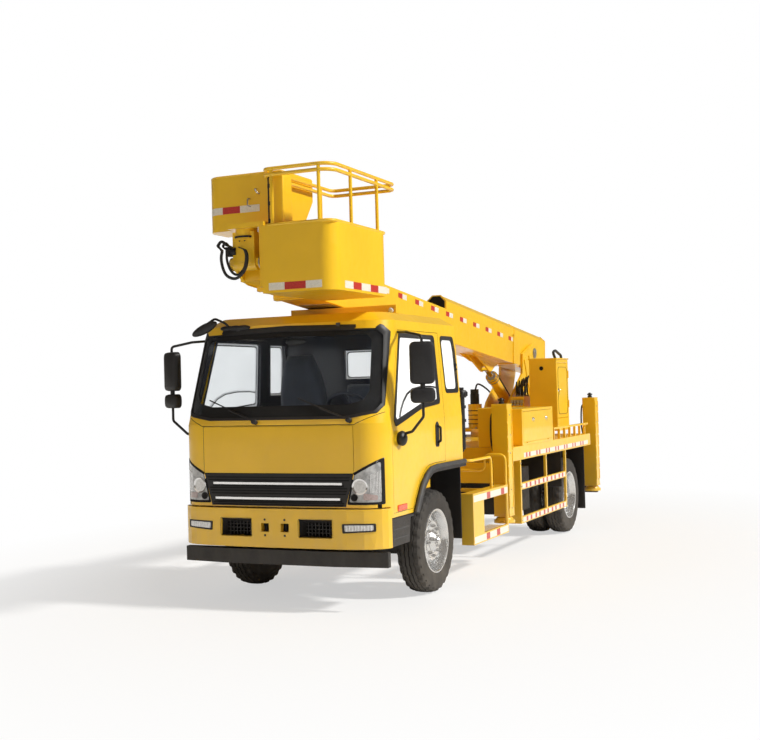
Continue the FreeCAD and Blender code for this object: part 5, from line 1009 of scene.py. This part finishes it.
# ---------------------------------------------------------------- outriggers
def jacks():
    """Caps, edge strips, top valves, bolts, hoses and the foot collar of each outrigger jack."""
    half = JACK / 2
    for word, y0 in (("front", AXLE + 1.87), ("rear", REAR + 1.09)):
        for side, s in SIDES:
            body = f"outrigger_{word}_{side}"
            leg = f"jack_{word}_{side}"
            mid_y = y0 + half
            mid_x = s * (JACK_OUT - half)
            top = Shape()
            for z in ((1.731, 1.741), (0.51, 0.53)):
                top.box((mid_x - half - 0.004, mid_x + half + 0.004), (y0 - 0.004, y0 + JACK + 0.004), z)
            top.made(f"jack_cap_{word}_{side}", body, PAINT, 0.004)
            valve = Shape().rod((mid_x, mid_y, 1.74), (mid_x, mid_y, 1.768), 0.03)
            knob = [(0, CORE), (0, 0.02), (0.018, 0.026), (0.04, 0.018), (0.044, CORE)]
            valve.lathe(knob, (mid_x, mid_y, 1.766), Z, 20)
            valve.rod((mid_x - 0.035, mid_y, 1.785), (mid_x + 0.035, mid_y, 1.785), 0.009, 12)
            valve.made(f"jack_top_valve_{word}_{side}", body, DARK)
            strips = Shape()
            for y in (y0 + 0.006, y0 + JACK - 0.022):
                for row in range(7):
                    z = 0.6 + 0.158 * row
                    strips.box(wide(s, JACK_OUT - 0.0005, JACK_OUT + 0.007), (y, y + 0.016), (z, z + 0.14))
            strips.made(f"jack_edge_strips_{word}_{side}", body, PAINT, 0.002)
            bolts = Shape()
            for z in (0.6, 0.8, 1.2, 1.4, 1.62):
                bolts.nut((s * (JACK_OUT - 0.0005), mid_y, z), X * s, 0.009, 0.006)
            bolts.made(f"jack_bolts_{word}_{side}", body, STEEL)
            inner = mid_x - s * half
            hose = Shape().tube(droop([(inner + s * 0.001, mid_y, 1.66), (inner - s * 0.035, mid_y, 1.6),
                (inner - s * 0.045, mid_y, 1.4), (inner - s * 0.03, mid_y, 1.25), (inner + s * 0.001, mid_y, 1.18)]),
                0.011, 10)
            hose.made(f"jack_hose_{word}_{side}", body, HOSE)
            collar = [(0, 0.0665), (0, 0.098), (0.012, 0.096), (0.03, 0.08), (0.03, 0.0665)]
            foot = Shape().lathe(collar, (mid_x, mid_y, 0.47), Z, 40)
            foot.made(f"jack_foot_collar_{word}_{side}", leg, PAINT)


# ---------------------------------------------------------------- turret
def turret_detail():
    """Bolts, pins, gussets, the slewing motor, valves and hoses on the turret."""
    cheek = 0.176
    shape = Shape()
    for spot in circle(Vector((0, SLEW, TURRET_BASE)), X * 0.36, Y * 0.36, 16):
        shape.nut(spot, Z, 0.015, 0.014)
    for s in (1, -1):
        for pin, radius in ((PIVOT, 0.075), (CYLINDER_BASE, 0.062)):
            shape.knob([(0, radius), (0.012, radius), (0.014, radius * 0.7), (0.02, radius * 0.66)],
                (s * cheek, pin.y, pin.z), X * s, 32)
            for spot in circle(pin + X * s * (cheek + 0.012), Y * radius * 0.82, Z * radius * 0.82, 3, 0.5):
                shape.nut(spot, X * s, 0.008, 0.006)
    shape.made("turret_bolts_and_pins", "turret", STEEL)
    plates = Shape()
    for s in (1, -1):
        low, high = wide(s, cheek, cheek + 0.014)
        for corners in (((-0.52, 2.3), (-0.42, 2.34), (-0.14, 1.72), (-0.24, 1.7)),
                ((-0.3, 2.36), (-0.22, 2.38), (0.04, 1.92), (-0.04, 1.88))):
            plates.prism([(PIVOT.y + y, z) for y, z in corners], low, high)
        plates.box((low, high), (SLEW - 0.15, SLEW + 0.88), (TURRET_BASE + 0.001, 1.4))
    plates.made("turret_gussets", "turret", PAINT, 0.003)
    x, y = -0.33, SLEW - 0.06
    motor = Shape().rod((x, y, 1.69), (x, y, 1.84), 0.062, 28)
    motor.box((x - 0.045, x + 0.045), (y - 0.045, y + 0.045), (1.84, 1.9))
    for k in range(4):
        motor.lathe([(0, 0.094), (0, 0.099), (0.01, 0.099), (0.01, 0.094)], (x, y, 1.42 + 0.06 * k), Z, 32)
    motor.made("slew_motor", "turret", DARK, 0.004)
    valves = Shape()
    for row in range(3):
        for col in range(4):
            spot = Vector((0.26 + 0.045 * col, SLEW - 0.2, 1.45 + 0.115 * row))
            valves.rod(spot, spot - Y * 0.05, 0.016, 14)
            valves.box((spot.x - 0.017, spot.x + 0.017), (spot.y - 0.028, spot.y), (spot.z + 0.02, spot.z + 0.06))
            valves.rod((spot.x, SLEW + 0.02 + 0.04 * row, 1.784), (spot.x, SLEW + 0.02 + 0.04 * row, 1.81), 0.012, 6)
    valves.made("valve_spools", "turret", STEEL)
    hoses = Shape()
    for k in range(6):
        x = 0.255 + 0.028 * k
        y = SLEW + 0.02 + 0.02 * (k % 3)
        reach = 0.2 + 0.03 * k
        hoses.tube(droop([(x, y, 1.8), (x, y - 0.01, 1.9 + 0.02 * k), (x - 0.03, y + reach * 0.5, 1.98 + 0.015 * k),
            (0.205 - 0.004 * k, y + reach, 1.86), (0.2, SLEW + 0.42 + 0.03 * k, 1.7 + 0.03 * k),
            (0.192, SLEW + 0.62 + 0.03 * k, 1.8 + 0.05 * k)]), 0.011, 8)
    hoses.tube(droop([(-0.33, SLEW - 0.03, 1.89), (-0.32, SLEW + 0.06, 1.97), (-0.26, SLEW + 0.25, 1.9),
        (-0.2, SLEW + 0.45, 1.76), (-0.19, SLEW + 0.6, 1.72)]), 0.012, 8)
    hoses.made("turret_hoses", "turret", HOSE)
    cabinet()


def cabinet():
    """Door seam, hinges, lock, hole plate and the tube handle on the control cabinet."""
    x0, x1 = span("control_cabinet", 0)
    y0, y1 = span("control_cabinet", 1)
    top = span("control_cabinet", 2)[1]
    shape = Shape()
    for z in (1.62, 2.02):
        shape.rod((x1 + 0.006, y1 - 0.024, z), (x1 + 0.006, y1 - 0.024, z + 0.1), 0.008)
    shape.made("cabinet_hinges", "turret", PAINT)
    lock = Shape().knob([(0, 0.026), (0.006, 0.024), (0.01, 0.01), (0.022, 0.009)], (x1, y0 + 0.075, 1.86), X, 24)
    lock.box((x1 + 0.01, x1 + 0.02), (y0 + 0.069, y0 + 0.081), (1.8, 1.865))
    lock.made("cabinet_lock", "cabinet_door", CHROME, 0.001)
    outline = rounded([(y0 + 0.065, 1.54), (y1 - 0.065, 1.54), (y1 - 0.065, 2.17), (y0 + 0.065, 2.17)], 0.07)
    groove = [(y0 + (y - y0) * 0.985 + 0.0045, 1.855 + (z - 1.855) * 0.986) for y, z in outline]
    band(outline, groove, lambda point, lift: Vector((x1 + lift, *point)),
        (-0.001, 0.0035, 0.0035, -0.001)).made("cabinet_door_bead", "cabinet_door", DARK)
    port = Shape().knob([(0, 0.028), (0.004, 0.026)], (x0 + 0.17, y0, top - 0.13), -Y, 28)
    port.made("cabinet_port", "turret", HOLE)
    x = x0 + 0.325
    grip = Shape().tube(bend([(x, y0 + 0.14, top - 0.002), (x, y0 + 0.03, top + 0.085), (x, y0 + 0.16, top + 0.105),
        (x, y0 + 0.42, top + 0.045), (x, y0 + 0.44, top - 0.002)], 0.05), 0.018, 12)
    grip.made("cabinet_grips", "turret", BLACK)
    roof = Shape().box((x0 - 0.008, x1 + 0.01), (y0 - 0.01, y1 + 0.01), (top - 0.014, top + 0.004))
    roof.made("cabinet_roof", "turret", PAINT, 0.004)


# ---------------------------------------------------------------- boom
def frame_bars(shape, half, low, high, start, end, lip):
    """A square frame round the boom's section, from start to end along it, standing out by lip."""
    for s in (1, -1):
        shape.box(wide(s, half - 0.001, half + lip), (start, end), (low - lip, high + lip))
    for z in ((high - 0.001, high + lip), (low - lip, low + 0.001)):
        shape.box((-half - lip, half + lip), (start, end), z)
    return in_boom(shape)


def in_boom(shape):
    """A shape drawn as (across, back from the pivot, up) in the boom's own frame, put on the truck."""
    shape.verts = [BOOM_TURN @ vert for vert in shape.verts]
    return shape


def boom_detail():
    """Tape, frames, pads, housing, cable carrier and lines on the boom."""
    along, up = boom_spot(0, -1, 0) - PIVOT, boom_spot(0, 0, 1) - PIVOT
    for side, s in SIDES:
        corner = boom_spot(s * BOOM_HALF, 6.95, BOOM_TOP - 0.085)
        tape(f"boom_tape_{side}", "boom_base", "r12 w13 n26 " * 13, corner, along, up, X * s, 6.15, 0.055)
    frames = Shape()
    for at in (-1.05, -7.0):
        bars = frame_bars(Shape(), BOOM_HALF, BOOM_LOW, BOOM_TOP, at - 0.03, at + 0.03, 0.012)
        frames.put(bars.verts, bars.faces)
    frames.made("boom_frames", "boom_base", PAINT, 0.003)
    pads = Shape()
    for s in (1, -1):
        for h in (BOOM_LOW + 0.05, BOOM_TOP - 0.06):
            pads.nut((s * (BOOM_HALF + 0.011), -7.0, h), X * s, 0.014, 0.008)
            pads.nut((s * (BOOM_HALF - 0.0005), -6.93, h), X * s, 0.014, 0.008)
    in_boom(pads).made("boom_pad_bolts", "boom_base", STEEL)
    tail = Shape()
    top = BOOM_TOP + 0.197
    half = 0.123
    crown = [(half, top - 0.068), (0.052, top), (-0.052, top), (-half, top - 0.068)]
    mouth = [(-half, BOOM_TOP), (half, BOOM_TOP), *crown]
    for back in (-3.445, -0.8):
        tail.prism([(x * 1.06, BOOM_TOP + (h - BOOM_TOP) * 1.03) for x, h in mouth], back, back + 0.012, "y")
    rear = [(-half, BOOM_LOW), (half, BOOM_LOW), *crown]
    tail.prism([(x * 1.05, h + (0.008 if h > 0 else -0.008)) for x, h in rear], 0.712, 0.722, "y")
    hole = [(x * 0.86, BOOM_TOP + 0.014 + (h - BOOM_TOP) * 0.86) for x, h in mouth]
    in_boom(Shape().prism(hole, -3.4575, -3.4455, "y")).made("boom_housing_mouth", "boom_base", HOLE)
    in_boom(tail).made("boom_housing_ends", "boom_base", PAINT, 0.002)
    carrier = Shape()
    for k in range(30):
        at = -1.2 - 0.075 * k
        carrier.box((-0.19, -0.14), (at - 0.034, at + 0.034), (BOOM_TOP + 0.002, BOOM_TOP + 0.04))
    in_boom(carrier).made("cable_carrier", "boom_base", BLACK, 0.004)
    lines = Shape()
    for x in (-0.15, -0.172):
        lines.tube([(x, -3.5, BOOM_TOP + 0.018), (x, -6.95, BOOM_TOP + 0.018)], 0.008, 8)
    for at in (3.9, 4.7, 5.5, 6.3, 6.85):
        lines.box((-0.187, -0.136), (-at - 0.012, -at + 0.012), (BOOM_TOP - 0.001, BOOM_TOP + 0.032))
    in_boom(lines).made("boom_top_lines", "boom_base", DARK, 0.001)
    under = Shape()
    for s in (1, -1):
        low, high = wide(s, 0.08, 0.09)
        under.prism([(-2.45, BOOM_LOW + 0.001), (-1.3, BOOM_LOW + 0.001), (-1.5, BOOM_LOW - 0.085),
            (-2.05, BOOM_LOW - 0.06)], low, high)
    in_boom(under).made("boom_ear_stiffeners", "boom_base", PAINT, 0.003)
    skid = Shape().box((-0.16, 0.16), (-6.62, -6.3), (BOOM_LOW - 0.0045, BOOM_LOW + 0.001))
    in_boom(skid).made("boom_rest_pad", "boom_base", STEEL)
    head_detail()
    cylinder_detail()


def head_detail():
    """Pins, hoses and the swing motor at the boom's head, under the basket."""
    shape = Shape()
    for s in (1, -1):
        shape.knob([(0, 0.058), (0.01, 0.058), (0.012, 0.04), (0.018, 0.036)], (s * 0.139, HEAD.y, HEAD.z), X * s, 28)
        for spot in circle(HEAD + X * s * 0.149, Y * 0.046, Z * 0.046, 3, 0.4):
            shape.nut(spot, X * s, 0.006, 0.005)
    shape.made("head_pin_caps", "boom_tip", STEEL)
    bits = Shape()
    bits.lathe([(0, 0.096), (0, 0.104), (0.016, 0.104), (0.016, 0.096)], (0, HEAD.y, 3.27), Z, 40)
    for spot in circle(Vector((0, HEAD.y, 3.2465)), X * 0.084, Y * 0.084, 10):
        bits.nut(spot, -Z, 0.008, 0.006)
    bits.rod((-0.075, HEAD.y - 0.05, 3.16), (-0.135, HEAD.y - 0.05, 3.16), 0.034, 24)
    bits.box((-0.165, -0.12), (HEAD.y - 0.085, HEAD.y - 0.015), (3.12, 3.2))
    bits.made("swing_motor", "basket_yoke", DARK, 0.003)
    hose = Shape()
    y = HEAD.y - 0.085
    for radius, path in (
            (0.013, ((-0.145, 0.02, 3.205), (-0.205, -0.01, 3.245), (-0.262, -0.03, 3.11), (-0.225, -0.03, 2.96),
                     (-0.13, -0.02, 2.915), (-0.045, -0.01, 2.985), (-0.03, 0.01, 3.1), (-0.07, 0.02, 3.19))),
            (0.011, ((-0.145, 0.04, 3.205), (-0.19, 0.03, 3.235), (-0.232, 0.01, 3.11), (-0.195, 0.01, 2.99),
                     (-0.13, 0.01, 2.95), (-0.07, 0.02, 3.0), (-0.052, 0.03, 3.1), (-0.075, 0.03, 3.19)))):
        hose.tube(droop([(x, y + step, z) for x, step, z in path]), radius, 12)
    for step in (0.02, 0.04):
        hose.rod((-0.145, y + step, 3.18), (-0.145, y + step, 3.215), 0.016, 6)
    hose.verts = [vert + Vector((0.11, -0.06, 0)) * min(1, max(0, (3.21 - vert.z) / 0.05)) for vert in hose.verts]
    hose.made("head_hoses", "basket_yoke", HOSE)
    nose_plates = Shape()
    for s in (1, -1):
        low, high = wide(s, 0.1405, 0.154)
        nose_plates.prism([(-7.72, -0.2), (-7.6, -0.225), (-7.44, -0.225), (-7.44, 0.085), (-7.72, 0.085)], low, high)
    in_boom(nose_plates).made("head_plates", "boom_tip", PAINT, 0.003)
    collar = frame_bars(Shape(), 0.176, -0.234, 0.103, -7.385, -7.335, 0.008)
    collar.made("boom_middle_frame", "boom_middle", PAINT, 0.002)


def cylinder_detail():
    """Gland rings, pipe and ports on the lift cylinder, drawn along its own axis from the base pin."""
    base = CYLINDER_BASE
    way = (CYLINDER_EYE - base).normalized()
    rise = X.cross(way)
    shape = Shape()
    for at, radius in ((1.185, 0.084), (1.245, 0.084), (0.1, 0.075)):
        shape.lathe([(0, 0.068), (0, radius), (0.02, radius), (0.02, 0.068)], base + way * at, way, 40)
    shape.lathe([(0, 0.041), (0, 0.06), (0.012, 0.056), (0.012, 0.041)], base + way * 1.27, way, 36)
    for spot in circle(base + way * 1.2695, X * 0.068, rise * 0.068, 8):
        shape.nut(spot, way, 0.008, 0.007)
    shape.made("cylinder_gland", "lift_cylinder_barrel", STEEL)
    pipe = Shape()
    for s in (1, -1):
        side = X * s * 0.045 - rise * 0.075
        pipe.tube(bend([base + way * 0.14 + side * 0.75, base + way * 0.16 + side, base + way * 1.18 + side,
            base + way * 1.21 + side * 0.75], 0.02), 0.009, 10)
    pipe.box((-0.05, 0.05), (-0.03, 0.03), (-0.02, 0.03), Matrix.Translation(base + way * 0.3 - rise * 0.08)
        @ rise.to_track_quat("Z", "X").to_matrix().to_4x4())
    pipe.made("cylinder_pipes", "lift_cylinder_barrel", DARK)


# ---------------------------------------------------------------- basket
def basket_detail():
    """Tape, rims, hooks, console, gate hinges, tread and stiffeners of the basket and its saddle tub."""
    x0, x1, low, top = 0.225, 0.9, 2.775, 3.35
    y0 = AXLE - 1.78
    y1 = y0 + 1.12
    s0, s1 = AXLE - 1.372, AXLE - 0.78
    for name, cells, corner, along, out, length in (
            ("basket_tape_front", "w24 r32 w24", (x0 + 0.06, y0, low + 0.022), X, -Y, 0.5),
            ("basket_tape_side", "w14 r14 w16 r14 w16", (x1, y0 + 0.2, low + 0.022), Y, X, 0.86),
            ("basket_tape_back", "w20 r20 w20", (x0 + 0.06, y1, low + 0.022), X, Y, 0.5),
            ("saddle_tape", "w3 r18 w20", (-0.43, s0, 3.545), X, -Y, 0.41)):
        tape(name, "basket", cells, corner, along, Z, out, length, 0.062)
    turn = [math.radians(180 + 9 * k) for k in range(11)]
    rows = [[Vector((-0.43 + radius * math.cos(a), s0 + 0.15 + radius * math.sin(a), z)) for a in turn]
        for radius, z in ((0.1496, 3.545), (0.1512, 3.545), (0.1512, 3.607), (0.1496, 3.607))]
    corner_tape = Shape().ribbon(rows, around=False, ends=[(0, 11, 22, 33), (10, 43, 32, 21)])
    corner_tape.made("saddle_tape_corner", "basket", TAPE_WHITE)
    corner = 0.13
    corners = ((x0, y0 + 0.4), (x0, y0), (x1 - 0.001, y0), (x1 - 0.001, y1), (x0, y1), (x0, y0 + 0.41))
    lip = [(min(max(p.x, x0 + 0.011), x1 - 0.011), min(max(p.y, y0 + 0.011), y1 - 0.011), top)
        for p in bend([(x, y, top) for x, y in corners], corner, 8)]
    Shape().tube(lip, 0.014, 12).made("basket_rim", "basket", PAINT)
    edge = Shape()
    curve = [(-0.43 + 0.139 * math.cos(a), s0 + 0.15 + 0.139 * math.sin(a)) for a in turn]
    edge.tube([(x, y, 3.88) for x, y in ((-0.569, s0 + 0.35), (-0.569, s0 + 0.155), *curve, (0.19, s0 + 0.011),
        (0.194, s0 + 0.016), (0.194, s1 - 0.011), (-0.569, s1 - 0.011), (-0.569, s0 + 0.36))], 0.013, 12)
    edge.made("saddle_rim", "basket", PAINT, 0.002)
    hooks = Shape()
    for path in (((-0.12, 0.001, 3.66), (-0.12, -0.035, 3.66), (-0.12, -0.04, 3.6), (-0.09, -0.04, 3.585)),
            ((-0.05, 0.001, 3.74), (-0.05, -0.035, 3.74), (-0.02, -0.035, 3.7), (-0.02, 0.001, 3.7))):
        hooks.tube(bend([(x, s0 + y, z) for x, y, z in path], 0.015), 0.006, 8)
    hooks.made("saddle_hooks", "basket", STEEL)
    console = Shape().box((0.297, 0.402), (y0 + 0.075, y0 + 0.235), (3.3, 3.818))
    console.made("basket_console", "basket", PAINT, 0.01)
    plates = Shape()
    for x in (0.252, 0.282):
        plates.rod((x, y0 + 0.09, 3.34), (x, y0 + 0.09, 3.8), 0.007, 12)
    for z in (3.4, 3.55, 3.7):
        plates.box((0.246, 0.297), (y0 + 0.084, y0 + 0.096), (z - 0.02, z + 0.012))
    plates.made("basket_gate_hinges", "basket", DARK, 0.002)
    floor = Shape()
    for row in range(10):
        for col in range(6):
            turn = placed((x0 + 0.09 + 0.1 * col, y0 + 0.1 + 0.1 * row, low + 0.022), 45 if (row + col) % 2 else -45)
            floor.box((-0.022, 0.022), (-0.005, 0.005), (-0.0005, 0.0025), turn)
    floor.made("basket_floor_tread", "basket", PAINT)
    brace = Shape()
    for x in (x0 + 0.1, x1 - 0.12):
        brace.prism([(y1, 3.05), (y1 + 0.015, 3.05), (y1 + 0.015, 3.345), (y1, 3.345)], x - 0.02, x + 0.02)
    for y in (y0 + 0.3, y0 + 0.62, y0 + 0.94):
        brace.box((x0 - 0.01, x0 + 0.001), (y - 0.02, y + 0.02), (2.8, 3.34))
    brace.made("basket_stiffeners", "basket", PAINT, 0.002)


def rest_detail():
    """The lamp and end plates on the boom's rest, and the small rails along the roof's sides."""
    spot = Vector((0.735, AXLE - 0.262, 2.68))
    profile = [(0, CORE), (0, 0.026), (0.016, 0.026), (0.026, 0.018), (0.03, CORE)]
    lamp = Shape().lathe(profile, spot + Y * 0.013, -Y, 24)
    lamp.made("rest_lamp", "truck", LENS)
    for x in (-0.336, 0.779):
        ends = Shape().box((x, x + 0.006), (AXLE - 0.256, AXLE - 0.134), (2.655, 2.735))
        ends.made("rest_beam_end_" + ("left" if x > 0 else "right"), "truck", PAINT, 0.002)
    for side, s in SIDES:
        lug = Shape()
        for y in (AXLE - 0.06, AXLE + 0.08):
            lug.box((s * 0.84 - 0.008, s * 0.84 + 0.008), (y - 0.01, y + 0.01), (2.55, 2.605))
        lug.box((s * 0.84 - 0.006, s * 0.84 + 0.006), (AXLE - 0.34, AXLE + 0.16), (2.596, 2.612))
        lug.made(f"roof_side_rail_{side}", "truck", PAINT, 0.002)


# ---------------------------------------------------------------- light, floor and camera
def studio():
    """A warm, weak sky that looks white, two suns and the floor."""
    world = bpy.data.worlds.new("world")
    bpy.context.scene.world = world
    tree, fill, add, _ = graph(world)
    sky = fill(tree.nodes["Background"], {"Color": (1.0, 0.87, 0.72, 1), "Strength": 0.19})
    white = add("Background", {"Color": (1, 1, 1, 1), "Strength": 1.0})
    path = add("LightPath").outputs
    seen = add("Math", {0: path["Is Camera Ray"], 1: path["Is Transmission Ray"]}, operation="MAXIMUM")
    mix = add("MixShader", {"Fac": seen.outputs["Value"], 1: sky.outputs["Background"],
        2: white.outputs["Background"]})
    fill(tree.nodes["World Output"], {"Surface": mix.outputs["Shader"]})

    def sun(name, heading, tilt, strength, size, colour):
        lamp = bpy.data.lights.new(name, "SUN")
        lamp.energy = strength
        lamp.angle = math.radians(size)
        lamp.color = colour
        holder = bpy.data.objects.new(name, lamp)
        holder.rotation_euler = (math.radians(90 - tilt), 0, math.radians(heading))
        bpy.context.scene.collection.objects.link(holder)

    sun("key", 97, 40, 3.9, 6, (1.0, 0.98, 0.94))
    sun("fill", -20, 30, 0.22, 40, (1.0, 0.9, 0.78))

    floor = bpy.data.meshes.new("floor")
    shape = bmesh.new()
    bmesh.ops.create_circle(shape, cap_ends=True, radius=40, segments=96)
    shape.to_mesh(floor)
    shape.free()
    ground = bpy.data.objects.new("floor", floor)
    bpy.context.scene.collection.objects.link(ground)
    floor.materials.append(floor_finish())


def floor_finish():
    """Pale floor that keeps the shadow near the truck and fades to white away from it."""
    mat = bpy.data.materials.new("floor_pale")
    tree, fill, add, remap = graph(mat)
    matte = fill(tree.nodes["Principled BSDF"], {"Base Color": (0.88, 0.88, 0.88, 1), "Roughness": 0.9})
    glow = add("Emission", {"Strength": 1.0})
    place = add("TexCoord").outputs["Object"]
    reach = add("Mapping", {"Scale": (1 / 6.0, 1 / 9.0, 1), "Vector": place}).outputs["Vector"]
    ball = add("TexGradient", {"Vector": reach}, gradient_type="SPHERICAL").outputs["Fac"]
    seen = add("Math", {0: remap(ball, 0.0, 0.55, 1.0, 0.55), 1: add("LightPath").outputs["Is Camera Ray"]},
        operation="MULTIPLY").outputs["Value"]
    mix = add("MixShader", {"Fac": seen, 1: matte.outputs["BSDF"], 2: glow.outputs["Emission"]})
    fill(tree.nodes["Material Output"], {"Surface": mix.outputs["Shader"]})
    return mat


def camera():
    """The photograph's view: the place, then turns for heading, tilt and roll."""
    lens = bpy.data.cameras.new("camera")
    lens.lens = 56.0
    lens.sensor_width = 36
    holder = bpy.data.objects.new("camera", lens)
    view = Matrix.Translation((5.196, AXLE - 10.47, 1.95))
    for degrees, axis in ((24.21, "Z"), (90.88, "X"), (-1.54, "Z")):
        view = view @ Matrix.Rotation(math.radians(degrees), 4, axis)
    holder.matrix_world = view
    bpy.context.scene.collection.objects.link(holder)
    bpy.context.scene.camera = holder
    bpy.context.scene.view_settings.view_transform = "Standard"


def main():
    paint_nodes()
    wheels()
    cab_trim()
    door_trim()
    nose()
    roof_corner()
    seats()
    dash_detail()
    bumper_detail()
    air_intake()
    deck_detail()
    fender_lips()
    jacks()
    turret_detail()
    boom_detail()
    basket_detail()
    rest_detail()
    studio()
    camera()


main()
